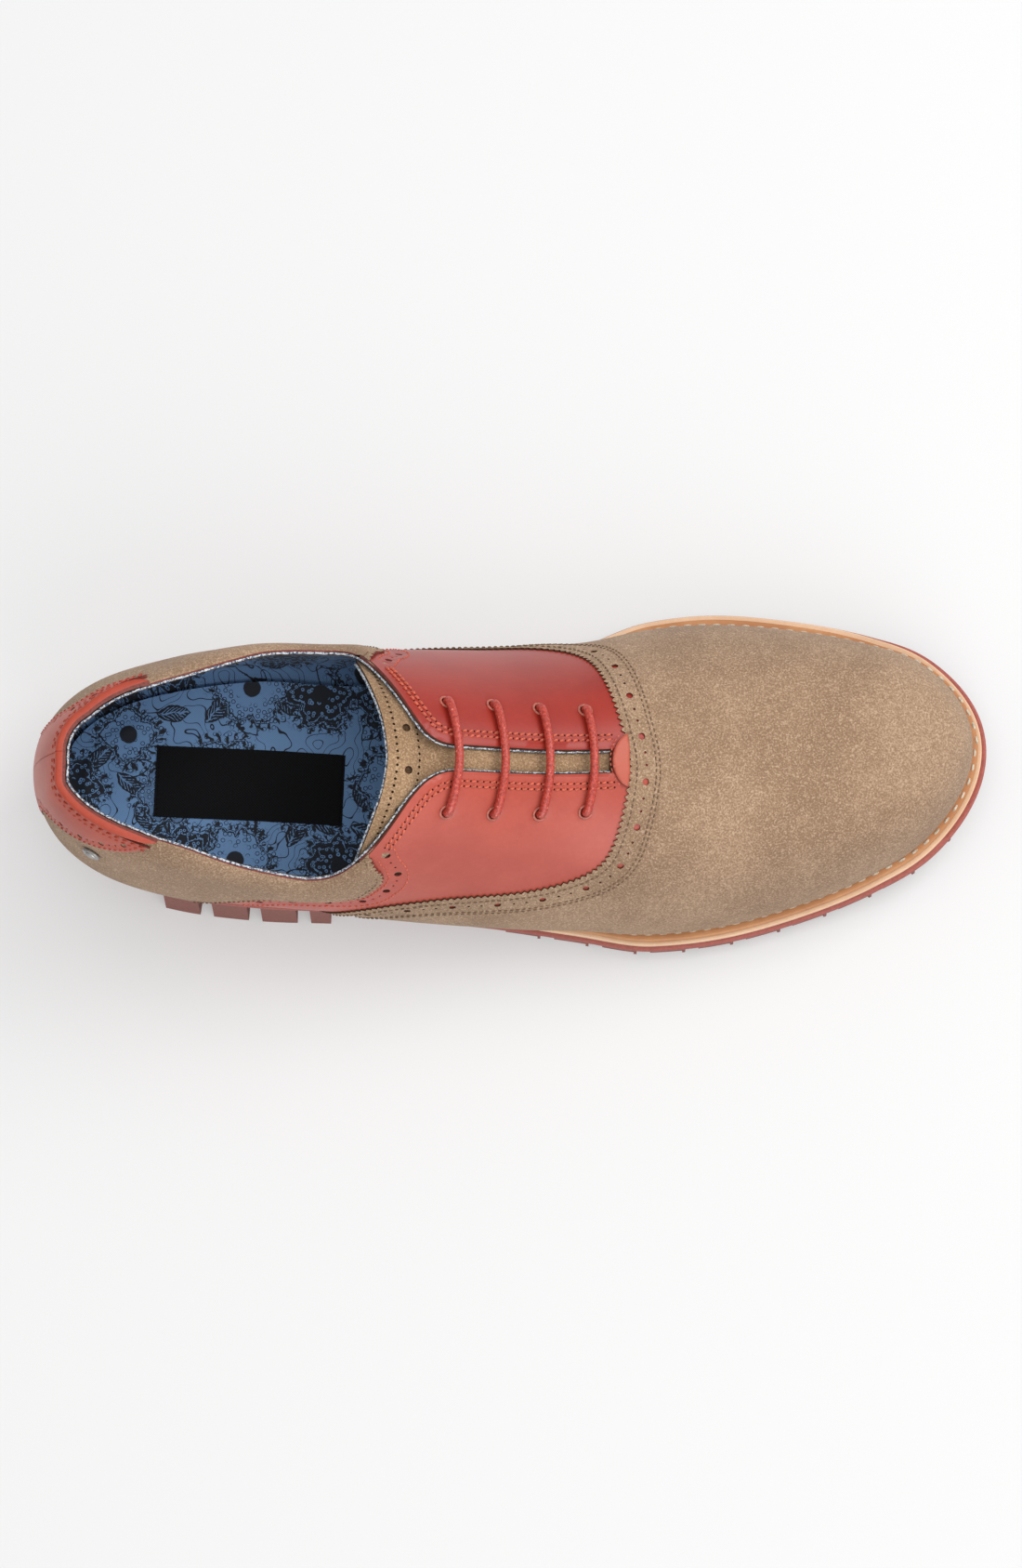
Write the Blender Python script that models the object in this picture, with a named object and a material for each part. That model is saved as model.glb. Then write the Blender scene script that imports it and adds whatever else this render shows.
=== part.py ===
"""Right shoe of a pair of saddle oxfords, standing empty on its sole.

Suede vamp and quarters with a smooth leather saddle, a leather backstay round the heel, four bars of
round lace over a suede tongue, and a natural leather welt and midsole on a lugged rubber outsole.

Metres, +X towards the toe, +Y towards the medial side (the other foot), +Z up. The origin lies on the
floor under the middle of the shoe.

Words used below. Along: 0 at the heel, 1 at the toe, crowded at both ends. Turn: along on the medial side,
and 2 minus along on the lateral side, so that it runs once round the shoe. Station: share of the last's
length from heel to toe. Rise: way up a section of the last, 0 at the welt, 1 on the ridge and past 1 down
the other side. Depth: distance out from the last's surface, negative on the foot's side of it.
"""

import math
from collections import namedtuple
from functools import lru_cache

import bmesh
import bpy
from mathutils import Matrix, Vector

# Last: the form that every piece follows
LAST_LENGTH = 0.2914
BALL_WIDTH = 0.0972
INSTEP_HEIGHT = 0.0780
HEEL_SWELL = 0.0038
TOE_SWING = 0.0136
RIDGE_OFFSET = 0.0038
HEEL_TURN = 0.0350
TOE_TURN = 0.0450

# Sole, from the floor up
OUTSOLE_AT_BALL = 0.0095
OUTSOLE_AT_HEEL = 0.0245
HEEL_LENGTH = 0.0880
HEEL_BREAST_SLOPE = 0.0025
TOE_SPRING = 0.0100
MIDSOLE_THICKNESS = 0.0022
WELT_THICKNESS = 0.0024
WELT_MARGIN = 0.0042
WELT_INSIDE = 0.0070
MIDSOLE_EDGE = 0.0003
OUTSOLE_EDGE = 0.0014
OUTSOLE_CHAMFER = 0.0010
RIM_HEIGHT = 0.0028
GROOVE_DEPTH = 0.0009
LUG_PITCH = 0.0156
LUG_LENGTH = 0.0112
LUG_REACH = 0.0130
TREAD_DEPTH = 0.0035

# Upper: the base wall, and the layers over it
LINING_DEPTH = -0.0018
BASE_DEPTH = -0.0008
LEATHER_THICKNESS = 0.0008
SUEDE_DEPTH = 0.0009
THROAT_GAP = 0.0066

# Tongue, insole, lace and trim
TONGUE_THICKNESS = 0.0020
TONGUE_HALF_WIDTH = 0.0290
INSOLE_THICKNESS = 0.0040
INSOLE_CUP = 0.0024
CUP_EDGE = 0.0120
LACE_RADIUS = 0.00120
LACE_BULGE = 0.0030
EYELET_COUNT = 4
EYELET_SPACING = 0.0148
EYELET_OFFSET = 0.0172
EYELET_CLEARANCE = 0.0005
TAB_HALF_WIDTH = 0.0080
TAB_LENGTH = 0.0056
STUD_RADIUS = 0.0030
STUD_HEIGHT = 0.0010

# The gap left between pieces that touch
GAP = 0.0003

# Depths of the layers that are worked out from the others
SADDLE_INNER = BASE_DEPTH + GAP
SADDLE_OUTER = SADDLE_INNER + LEATHER_THICKNESS
STAY_INNER = SUEDE_DEPTH + GAP
STAY_OUTER = STAY_INNER + LEATHER_THICKNESS
LACE_UNDER = LINING_DEPTH - GAP - LACE_RADIUS
LACE_OVER = SADDLE_OUTER + 2 * GAP + LACE_RADIUS
TONGUE_DEPTH = LACE_UNDER - LACE_RADIUS - 2 * GAP

# Stations of the main places
HEEL_SEAT_END = 0.20
BALL_START = 0.60
BALL_END = 0.73
COLLAR_BEND = 0.355
THROAT_TOP = 0.430
THROAT_BASE = 0.610
SLOT_END = 0.004
VAMP_POINT = 0.634
SADDLE_END = 0.630
QUARTER_END = 0.3585
WING_END = 0.145
FIRST_EYELET = 0.426
TONGUE_TOP = 0.362
TONGUE_FRONT = 0.650
STUD_TURN = 1.846
STUD_RISE = 0.250

# Shapes along the edges, as stations: where the collar turns into the facing, how far the vamp's layer
# stays off its pointed ends, the curve of the tongue's top, its seam, and the curve of the tab's front
FACING_STARTS = THROAT_TOP - 0.030
FACING_FULL = THROAT_TOP + 0.010
VAMP_SETBACK = 0.015
TONGUE_CURVE = 0.030
TONGUE_TAPER = 0.25
SEAM_STARTS = THROAT_BASE - 0.012
SEAM_FULL = THROAT_BASE + 0.015
TAB_BACK = 0.003
TAB_CURVE = 0.004

# The lace's bends as shares of its radius, and its hidden runs as shares of the eyelets' spacing
BEND_SET_IN = 0.75
BEND_DROP = 0.35
BEND_RAISE = 0.60
RUN_ASIDE = 2.4
RUN_AHEAD = 0.07
RUN_ENDS = 0.35

# Half of the gap between layers that meet along a line, as a station and as a rise
LINE_STATION = 0.7 * GAP / LAST_LENGTH
LINE_RISE = 0.65 * GAP / INSTEP_HEIGHT

# Rises: the saddle's region starts under the foot and the layers over it, a lip keeps a layer under an
# edge, and the cutters run past it
UNDER_FOOT = -0.03
LAYER_FOOT = 0.012
EDGE_LIP = 0.012
PAST_EDGE = 0.05
LEAST_RISE = 0.004
RIDGE_SHIFT = 0.012

# Fineness of the meshes, and how far a cutter reaches through the wall
SIDE_STATIONS = 24
SECTION_STEPS = 8
PATCH_FINENESS = 1.3
PATCH_ROWS = 8
QUARTER_ROWS = 6
HEEL_STEPS = 10
LEAST_SPACING = 0.4 / SIDE_STATIONS
LEAST_TURN = 0.003
NORMAL_STEP = 0.01
OUTLINE_STEP = 0.002
WALK_STEPS = 600
TONGUE_ROWS = 10
TONGUE_COLUMNS = 8
TAB_COLUMNS = 8
BAR_STEPS = 7
HOLE_SIDES = 12
STUD_SIDES = 20
SHARP_ANGLE = 35
CUTTER_IN = -0.0045
CUTTER_OUT = 0.0060
PUNCH_LENGTH = 0.008

MEDIAL = 1
LATERAL = -1
SWING_POWER = 2.6
TURN_SOFTNESS = 0.18
SWELL_FADE = 4.0
FLAT_FOOT = 0.05
SAME_STATION = 1e-6

# Widths are shares of half the ball's width, on the welt. In the first and last rows they are the roundness
# of that end instead. Swell is a share of the heel's swell and bulge of the section's height. Fullness is
# the power of the section's round shape: 2 is an ellipse, and more is boxier.
Section = namedtuple("Section", "station medial lateral fullness swell bulge")
SECTIONS = (
    Section(0.00, 1.27, 1.27, 3.60, 1.00, 0.28),
    Section(0.06, 0.525, 0.54, 3.20, 1.00, 0.28),
    Section(0.13, 0.655, 0.68, 2.85, 1.00, 0.28),
    Section(0.22, 0.72, 0.75, 2.80, 1.05, 0.28),
    Section(0.33, 0.70, 0.78, 2.50, 1.40, 0.28),
    Section(0.45, 0.75, 0.85, 2.10, 1.30, 0.27),
    Section(0.56, 0.855, 0.93, 1.95, 0.80, 0.25),
    Section(0.65, 0.99, 1.00, 2.05, 0.50, 0.25),
    Section(0.73, 0.99, 0.975, 2.15, 0.40, 0.28),
    Section(0.81, 0.905, 0.88, 2.30, 0.35, 0.30),
    Section(0.89, 0.755, 0.735, 2.45, 0.30, 0.32),
    Section(0.95, 0.56, 0.555, 2.50, 0.30, 0.33),
    Section(1.00, 1.27, 1.30, 2.50, 0.30, 0.33),
)

# Height of the ridge over the welt as a share of the instep's, and its offset to the lateral side as a
# share of the ridge's own offset
Ridge = namedtuple("Ridge", "station height offset")
RIDGE_LINE = (
    Ridge(0.00, 0.920, 0.0),
    Ridge(0.12, 0.925, 0.0),
    Ridge(0.22, 0.960, 0.3),
    Ridge(0.30, 0.995, 0.7),
    Ridge(0.36, 1.000, 1.0),
    Ridge(0.43, 0.960, 1.0),
    Ridge(0.52, 0.850, 1.0),
    Ridge(0.61, 0.745, 0.8),
    Ridge(0.70, 0.640, 0.4),
    Ridge(0.78, 0.560, 0.1),
    Ridge(0.85, 0.500, 0.0),
    Ridge(1.00, 0.420, 0.0),
)

# How far the welt stands out past the upper, as a share of the welt's margin
Margin = namedtuple("Margin", "station medial lateral")
MARGINS = (
    Margin(0.00, -0.15, -0.15),
    Margin(0.20, -0.15, 0.00),
    Margin(0.38, -0.10, 0.15),
    Margin(0.50, 0.15, 0.30),
    Margin(0.58, 0.50, 0.60),
    Margin(0.65, 0.85, 0.90),
    Margin(0.73, 1.00, 0.90),
    Margin(0.85, 0.95, 0.90),
    Margin(1.00, 0.80, 0.80),
)

# Rise of the collar's edge from the heel to the top of the throat
Collar = namedtuple("Collar", "station medial lateral")
COLLAR = (
    Collar(0.00, 0.565, 0.565),
    Collar(0.06, 0.610, 0.590),
    Collar(0.14, 0.590, 0.555),
    Collar(0.24, 0.375, 0.390),
    Collar(0.30, 0.315, 0.340),
    Collar(0.34, 0.380, 0.455),
    Collar(0.37, 0.650, 0.690),
    Collar(0.40, 0.840, 0.850),
    Collar(0.43, 0.930, 0.930),
)

# Rise of the line where the quarter's layer ends over the saddle
QuarterLine = namedtuple("QuarterLine", "station medial lateral")
QUARTER_LINE = (
    QuarterLine(0.140, 0.00, 0.00),
    QuarterLine(0.200, 0.09, 0.10),
    QuarterLine(0.240, 0.14, 0.16),
    QuarterLine(0.290, 0.17, 0.20),
    QuarterLine(0.335, 0.20, 0.25),
    QuarterLine(0.350, 0.25, 0.32),
    QuarterLine(0.357, 0.40, 0.45),
    QuarterLine(0.362, 0.70, 0.75),
)

# Rise of the line where the vamp's layer ends over the saddle
VampLine = namedtuple("VampLine", "station medial lateral")
VAMP_LINE = (
    VampLine(0.285, 0.00, 0.00),
    VampLine(0.360, 0.14, 0.15),
    VampLine(0.440, 0.24, 0.27),
    VampLine(0.510, 0.32, 0.35),
    VampLine(0.550, 0.40, 0.42),
    VampLine(0.580, 0.49, 0.50),
    VampLine(0.600, 0.58, 0.59),
    VampLine(0.617, 0.70, 0.73),
    VampLine(0.628, 0.83, 0.85),
    VampLine(0.634, 1.00, 1.00),
)

# Rise of the backstay's lower edge, by the turn round the heel
StayLine = namedtuple("StayLine", "turn medial lateral")
STAY_LINE = (
    StayLine(0.000, -0.04, -0.04),
    StayLine(0.046, -0.04, -0.04),
    StayLine(0.060, 0.20, 0.12),
    StayLine(0.100, 0.38, 0.22),
    StayLine(0.130, 0.43, 0.27),
    StayLine(0.165, 0.48, 0.34),
    StayLine(0.195, 0.54, 0.42),
    StayLine(0.220, 0.61, 0.54),
)


def slopes(rows, column):
    """Slope at each row that keeps the read curve smooth without overshooting."""
    xs = [row[0] for row in rows]
    ys = [getattr(row, column) for row in rows]
    steps = [(ys[i + 1] - ys[i]) / (xs[i + 1] - xs[i]) for i in range(len(xs) - 1)]
    inner = [2 * a * b / (a + b) if a * b > 0 else 0.0 for a, b in zip(steps, steps[1:])]
    return xs, ys, [steps[0]] + inner + [steps[-1]]


@lru_cache(maxsize=None)
def prepared(rows, column):
    """The table's column with its slopes, worked out once."""
    return slopes(rows, column)


def read_table(rows, column, place):
    """Value of one column of a table at a place between its rows."""
    xs, ys, tangents = prepared(rows, column)
    place = min(max(place, xs[0]), xs[-1])
    i = max(k for k in range(len(xs) - 1) if place >= xs[k])
    width = xs[i + 1] - xs[i]
    t = (place - xs[i]) / width
    start = (1 + 2 * t) * (1 - t) ** 2 * ys[i] + t * (1 - t) ** 2 * width * tangents[i]
    end = t * t * (3 - 2 * t) * ys[i + 1] + t * t * (t - 1) * width * tangents[i + 1]
    return start + end


def ease(value, start, end):
    """0 before the start, 1 after the end, and smooth between."""
    t = min(max((value - start) / (end - start), 0.0), 1.0)
    return t * t * (3 - 2 * t)


def station_of(along):
    """Station of a place that is given by its along value."""
    return (1 - math.cos(math.pi * along)) / 2


def along_of(station):
    """Along value of a station."""
    return math.acos(1 - 2 * station) / math.pi


def split_turn(turn):
    """The along value and the side of a turn."""
    turn = turn % 2.0
    if turn <= 1.0:
        return turn, MEDIAL
    return 2.0 - turn, LATERAL


def side_name(side):
    """Name of the table column that belongs to a side."""
    return "medial" if side == MEDIAL else "lateral"


def swing(x):
    """How far the middle of the last has swung to the medial side at a length from the heel."""
    return TOE_SWING * max(x / LAST_LENGTH, 0.0) ** SWING_POWER


Roundness = namedtuple("Roundness", "station share")


@lru_cache(maxsize=None)
def roundness_rows(column):
    """The widths of a side as shares of an ellipse's, which stay smooth round both ends."""
    rows = []
    for row in SECTIONS:
        width = getattr(row, column)
        inner = 0.0 < row.station < 1.0
        round_end = 2 * math.sqrt(row.station * (1 - row.station)) if inner else 1.0
        rows.append(Roundness(row.station, width / round_end))
    return tuple(rows)


def feather_point(turn):
    """Plan position of the last's edge on the welt."""
    along, side = split_turn(turn)
    station = station_of(along)
    share = read_table(roundness_rows(side_name(side)), "share", station)
    x = LAST_LENGTH * station
    return Vector((x, swing(x) + side * BALL_WIDTH / 2 * math.sin(math.pi * along) * share))


def outsole_top(x):
    """Height of the outsole's upper face at a length from the heel."""
    station = x / LAST_LENGTH
    heel = (OUTSOLE_AT_HEEL - OUTSOLE_AT_BALL) * (1 - ease(station, HEEL_SEAT_END, BALL_START))
    toe = TOE_SPRING * (max(station - BALL_END, 0.0) / (1 - BALL_END)) ** 2
    return OUTSOLE_AT_BALL + heel + toe


def midsole_floor(x):
    """Height of the midsole's lower face."""
    return outsole_top(x) + GAP


def welt_floor(x):
    """Height of the welt's lower face."""
    return midsole_floor(x) + MIDSOLE_THICKNESS + GAP


def upper_floor(x):
    """Height of the upper's lower edge, just over the welt."""
    return welt_floor(x) + WELT_THICKNESS + GAP


def heel_breast():
    """Length from the heel's edge to the front of the heel."""
    return HEEL_LENGTH + WELT_MARGIN * MARGINS[0].medial


def tread_floor(x):
    """Height of the outsole's lower face: heel, arch, flat tread and toe spring."""
    if x <= heel_breast():
        return 0.0
    return outsole_top(x) - OUTSOLE_AT_BALL


Cut = namedtuple("Cut", "feather spine outward foot height fullness swell bulge")


@lru_cache(maxsize=None)
def cross_section(turn):
    """One section of the last, from its edge on the welt to the ridge."""
    along, side = split_turn(turn)
    station = station_of(along)
    feather = feather_point(turn)
    first = HEEL_TURN / LAST_LENGTH
    last = 1 - TOE_TURN / LAST_LENGTH
    share = (station - first) / (last - first)
    soft = (math.hypot(share, TURN_SOFTNESS) - math.hypot(share - 1, TURN_SOFTNESS) + 1) / 2
    ridge_station = first + (last - first) * soft
    ridge_x = LAST_LENGTH * ridge_station
    ridge_y = swing(ridge_x) - RIDGE_OFFSET * read_table(RIDGE_LINE, "offset", ridge_station)
    spine = Vector((ridge_x, ridge_y))
    foot = upper_floor(feather.x)
    top = upper_floor(ridge_x) + INSTEP_HEIGHT * read_table(RIDGE_LINE, "height", ridge_station)
    return Cut(
        feather, spine, (feather - spine).normalized(), foot, top - foot,
        read_table(SECTIONS, "fullness", station),
        HEEL_SWELL * read_table(SECTIONS, "swell", station),
        read_table(SECTIONS, "bulge", station),
    )


def surface_point(turn, rise):
    """Point on the last's surface."""
    if rise > 1.0:
        return surface_point(2.0 - turn, 2.0 - rise)
    cut = cross_section(turn)
    angle = max(rise, 0.0) * math.pi / 2
    plan = max(math.cos(angle), 0.0) ** (2 / cut.fullness)
    height = math.sin(angle) ** (2 / cut.fullness)
    swell = cut.swell * height / cut.bulge * math.exp(1 - height / cut.bulge)
    flat = cut.spine + (cut.feather - cut.spine) * plan + cut.outward * swell * min(1.0, SWELL_FADE * plan)
    below = min(rise, 0.0) * cut.height
    return Vector((flat.x, flat.y, cut.foot + cut.height * height + below))


@lru_cache(maxsize=None)
def surface_normal(turn, rise):
    """Outward direction of the last's surface."""
    here = min(max(rise, NORMAL_STEP), 2 - NORMAL_STEP)
    round_way = surface_point(turn + NORMAL_STEP, here) - surface_point(turn - NORMAL_STEP, here)
    up_way = surface_point(turn, here + NORMAL_STEP) - surface_point(turn, here - NORMAL_STEP)
    normal = up_way.cross(round_way).normalized()
    normal.z *= min(1.0, max(rise, 0.0) / FLAT_FOOT)
    return normal


def last_point(turn, rise, depth):
    """Point at a depth from the last's surface."""
    return surface_point(turn, rise) + surface_normal(turn, rise) * depth


def rise_at_offset(turn, offset):
    """Rise at which a section is a given plan distance from the ridge."""
    cut = cross_section(turn)
    share = min(offset / (cut.feather - cut.spine).length, 1.0)
    return math.acos(share ** (cut.fullness / 2)) / (math.pi / 2)


def opening_rise(turn):
    """Rise of the edge of the opening: the collar, then the facing beside the throat."""
    along, side = split_turn(turn)
    station = station_of(along)
    if station >= THROAT_BASE - SAME_STATION:
        return 1.0
    collar = read_table(COLLAR, side_name(side), station)
    facing = rise_at_offset(turn, THROAT_GAP / 2)
    share = ease(station, FACING_STARTS, FACING_FULL)
    return collar + (facing - collar) * share


@lru_cache(maxsize=None)
def columns():
    """Along values of the sections from heel to toe, shared by the upper and the sole."""
    breast = heel_breast()
    stations = [breast / LAST_LENGTH, (breast + HEEL_BREAST_SLOPE) / LAST_LENGTH]
    stations += [row.station for row in COLLAR if row.station > HEEL_SEAT_END]
    stations += [COLLAR_BEND, THROAT_BASE - SLOT_END, THROAT_BASE]
    special = [along_of(station) for station in sorted(stations)]
    even = [i / SIDE_STATIONS for i in range(SIDE_STATIONS + 1)]
    kept = [value for value in even if all(abs(value - other) > LEAST_SPACING for other in special)]
    return tuple(sorted(kept + special))


def full_loop():
    """Turns once round the shoe, without repeating the heel."""
    values = columns()
    return list(values) + [2.0 - value for value in reversed(values[1:-1])]


def outline_point(turn, margin):
    """Plan position at a margin outside the last's edge on the welt."""
    way = feather_point(turn + OUTLINE_STEP) - feather_point(turn - OUTLINE_STEP)
    outward = Vector((-way.y, way.x)).normalized()
    return feather_point(turn) + outward * margin


def welt_edge(turn):
    """How far the welt's edge stands out past the last's edge."""
    along, side = split_turn(turn)
    return WELT_MARGIN * read_table(MARGINS, side_name(side), station_of(along))


def plain_material(name, colour, roughness, metallic=0.0):
    """Principled material of one colour."""
    made = bpy.data.materials.new(name)
    made.use_nodes = True
    shader = made.node_tree.nodes["Principled BSDF"]
    shader.inputs["Base Color"].default_value = (*colour, 1.0)
    shader.inputs["Roughness"].default_value = roughness
    shader.inputs["Metallic"].default_value = metallic
    return made


def add_mesh(name, mesh, material=None):
    """Object from a closed bmesh in flat triangles, shaded smooth but for its sharp edges."""
    bmesh.ops.recalc_face_normals(mesh, faces=mesh.faces)
    bmesh.ops.triangulate(mesh, faces=mesh.faces)
    data = bpy.data.meshes.new(name)
    mesh.to_mesh(data)
    mesh.free()
    data.shade_smooth()
    data.set_sharp_from_angle(angle=math.radians(SHARP_ANGLE))
    if material:
        data.materials.append(material)
    made = bpy.data.objects.new(name, data)
    bpy.context.scene.collection.objects.link(made)
    return made


def as_cutter(made):
    """Mark an object as one that only shapes others."""
    made.hide_render = True
    made.display_type = "WIRE"
    return made


def combine(target, other, operation):
    """Join, cut or trim an object by another one."""
    step = target.modifiers.new(other.name, "BOOLEAN")
    step.operation = operation
    step.solver = "EXACT"
    step.object = as_cutter(other)


# Sheets: places on the last's surface as pairs of turn and rise, and faces that join them


def strip_sheet(turns, low, high, rows, closed=False, ridge_rise=1.0):
    """Sheet between two rises over a run of turns. Where the high rise is 1, both sides share the ridge."""
    places, ridge, grid = [], {}, []
    for turn in turns:
        top = high(turn)
        column = []
        for j in range(rows + 1):
            rise = low(turn) + (top - low(turn)) * j / rows
            key = round(split_turn(turn)[0], 6)
            if top == 1.0 and j == rows and key in ridge:
                column.append(ridge[key])
                continue
            at_ridge = top == 1.0 and j == rows
            places.append((turn, ridge_rise if at_ridge else rise))
            column.append(len(places) - 1)
            if at_ridge:
                ridge[key] = column[-1]
        grid.append(column)
    if closed:
        grid.append(grid[0])
    faces = []
    for a, b in zip(grid, grid[1:]):
        faces += [(a[j], b[j], b[j + 1], a[j + 1]) for j in range(rows)]
    return places, faces


def add_sheet(mesh, sheet, inner, outer):
    """Add the closed solid between two depths over a sheet. A depth is a number or a function of place."""
    places, faces = sheet

    def skin(depth):
        reach = depth if callable(depth) else lambda turn, rise: depth
        return [mesh.verts.new(last_point(turn, rise, reach(turn, rise))) for turn, rise in places]

    near, far = skin(inner), skin(outer)
    uses = {}
    for face in faces:
        mesh.faces.new([far[k] for k in face])
        mesh.faces.new([near[k] for k in reversed(face)])
        for a, b in zip(face, face[1:] + face[:1]):
            uses.setdefault(frozenset((a, b)), []).append((a, b))
    for sides in uses.values():
        if len(sides) == 1:
            a, b = sides[0]
            mesh.faces.new((far[b], far[a], near[a], near[b]))


def sheet_solid(name, sheets, inner, outer, material=None):
    """One object with a closed solid for each sheet."""
    mesh = bmesh.new()
    for sheet in sheets:
        add_sheet(mesh, sheet, inner, outer)
    return add_mesh(name, mesh, material)


def wall_sheet(lip=0.0):
    """The whole upper: round the shoe, up to the opening, and over the ridge ahead of the throat."""

    def top(turn):
        rise = opening_rise(turn)
        return rise if rise == 1.0 else rise - lip

    return strip_sheet(full_loop(), lambda turn: 0.0, top, SECTION_STEPS, True, 1.0 + lip / 2)


def patch_turns(start, end, stations, side):
    """Turns of a patch on one side: even steps, with the stations where its bounds turn."""
    first, last = along_of(start), along_of(end)
    count = max(2, round((last - first) * SIDE_STATIONS * PATCH_FINENESS))
    even = [first + (last - first) * i / count for i in range(count + 1)]
    marks = [along_of(station) for station in stations if start < station < end]
    kept = [value for value in even if all(abs(value - mark) > LEAST_TURN for mark in marks)]
    values = sorted(kept + marks)
    return values if side == MEDIAL else [2.0 - value for value in values]


def line_rise(rows, turn, shift):
    """Rise of a boundary line, moved forward and down by a shift of 1 or back and up by -1."""
    along, side = split_turn(turn)
    station = station_of(along) - shift * LINE_STATION
    return read_table(rows, side_name(side), station) - shift * LINE_RISE


def saddle_sheet(side):
    """Region of the saddle on one side: the facing, the panel and the low wing towards the heel."""

    def high(turn):
        station = station_of(split_turn(turn)[0])
        if station < QUARTER_END + LINE_STATION:
            return line_rise(QUARTER_LINE, turn, 1)
        if station < THROAT_BASE:
            return opening_rise(turn) + PAST_EDGE
        return rise_at_offset(turn, THROAT_GAP / 2)

    def low(turn):
        station = station_of(split_turn(turn)[0])
        if station < VAMP_LINE[0].station:
            return UNDER_FOOT
        return min(line_rise(VAMP_LINE, turn, -1), high(turn) - LEAST_RISE)

    stations = [row.station for row in QUARTER_LINE + VAMP_LINE]
    stations += [QUARTER_END, QUARTER_END + 2 * LINE_STATION]
    turns = patch_turns(WING_END, SADDLE_END, stations, side)
    return strip_sheet(turns, low, high, PATCH_ROWS)


def quarter_sheet():
    """Region of the quarters' suede, round the heel from one side to the other."""

    def high(turn):
        return opening_rise(turn) + PAST_EDGE

    def low(turn):
        station = station_of(split_turn(turn)[0])
        if station < QUARTER_LINE[0].station:
            return LAYER_FOOT
        return max(line_rise(QUARTER_LINE, turn, -1), LAYER_FOOT)

    stations = [row.station for row in QUARTER_LINE]
    values = patch_turns(stations[0], QUARTER_END - 2 * LINE_STATION, stations, MEDIAL)
    heel = [values[0] * i / HEEL_STEPS for i in range(1 - HEEL_STEPS, HEEL_STEPS)]
    turns = [-value for value in reversed(values)] + heel + values
    return strip_sheet(turns, low, high, QUARTER_ROWS)


def vamp_sheet():
    """Region of the vamp's suede, from one side's waist round the toe to the other's."""

    def high(turn):
        if station_of(split_turn(turn)[0]) >= VAMP_POINT - SAME_STATION:
            return 1.0
        return max(line_rise(VAMP_LINE, turn, 1), LAYER_FOOT + LEAST_RISE)

    stations = [row.station for row in VAMP_LINE]
    back = patch_turns(stations[0] + VAMP_SETBACK, VAMP_POINT, stations, MEDIAL)
    front = [value for value in columns() if value > back[-1] + LEAST_SPACING]
    medial = back + front
    turns = medial + [2.0 - value for value in reversed(medial[:-1])]
    return strip_sheet(turns, lambda turn: LAYER_FOOT, high, PATCH_ROWS, ridge_rise=1.0 + RIDGE_SHIFT)


def stay_sheet():
    """Region of the backstay: a strip down the back and a band along the collar."""

    def low(turn):
        along, side = split_turn(turn)
        return min(read_table(STAY_LINE, side_name(side), along), opening_rise(turn) - EDGE_LIP)

    marks = [row.turn for row in STAY_LINE[1:]]
    between = [(a + b) / 2 for a, b in zip(marks, marks[1:])]
    values = sorted(marks + between + [STAY_LINE[1].turn / 2])
    turns = [-value for value in reversed(values)] + [0.0] + values
    return strip_sheet(turns, low, lambda turn: opening_rise(turn) + PAST_EDGE, PATCH_ROWS)


def eyelet_place(number, side):
    """Turn and rise of an eyelet, counted from the top."""
    station = FIRST_EYELET + EYELET_SPACING / LAST_LENGTH * number
    turn = along_of(station)
    rise = rise_at_offset(turn, EYELET_OFFSET)
    return (turn if side == MEDIAL else 2.0 - turn), rise


def eyelet_holes():
    """Punches for all the eyelets."""
    mesh = bmesh.new()
    radius = LACE_RADIUS + EYELET_CLEARANCE
    for side in (MEDIAL, LATERAL):
        for number in range(EYELET_COUNT):
            turn, rise = eyelet_place(number, side)
            normal = surface_normal(turn, rise)
            spot = last_point(turn, rise, 0.0)
            place = Matrix.Translation(spot) @ normal.to_track_quat("Z", "Y").to_matrix().to_4x4()
            bmesh.ops.create_cone(
                mesh, cap_ends=True, segments=HOLE_SIDES, radius1=radius, radius2=radius,
                depth=PUNCH_LENGTH, matrix=place,
            )
    return as_cutter(add_mesh("eyelet_punches", mesh))


def make_upper(punches):
    """Hollow wall with the vamp and the quarters as raised layers."""
    suede = plain_material("suede", (0.39, 0.28, 0.18), 0.95)
    upper = sheet_solid("upper", [wall_sheet()], LINING_DEPTH, BASE_DEPTH, suede)
    middle = (LINING_DEPTH + BASE_DEPTH) / 2
    layers = as_cutter(sheet_solid("suede_layers", [wall_sheet(EDGE_LIP)], middle, SUEDE_DEPTH))
    region = sheet_solid("suede_region", [vamp_sheet(), quarter_sheet()], CUTTER_IN, CUTTER_OUT)
    combine(layers, region, "INTERSECT")
    combine(upper, layers, "UNION")
    combine(upper, punches, "DIFFERENCE")
    return upper


def make_saddle(name, side, punches, leather):
    """Smooth leather panel on one side."""
    saddle = sheet_solid(name, [wall_sheet()], SADDLE_INNER, SADDLE_OUTER, leather)
    region = sheet_solid(name + "_region", [saddle_sheet(side)], CUTTER_IN, CUTTER_OUT)
    combine(saddle, region, "INTERSECT")
    combine(saddle, punches, "DIFFERENCE")
    return saddle


def make_backstay(leather):
    """Leather stay round the back of the heel."""
    stay = sheet_solid("backstay", [wall_sheet(EDGE_LIP)], STAY_INNER, STAY_OUTER, leather)
    region = sheet_solid("backstay_region", [stay_sheet()], CUTTER_IN, CUTTER_OUT)
    combine(stay, region, "INTERSECT")
    return stay


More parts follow.
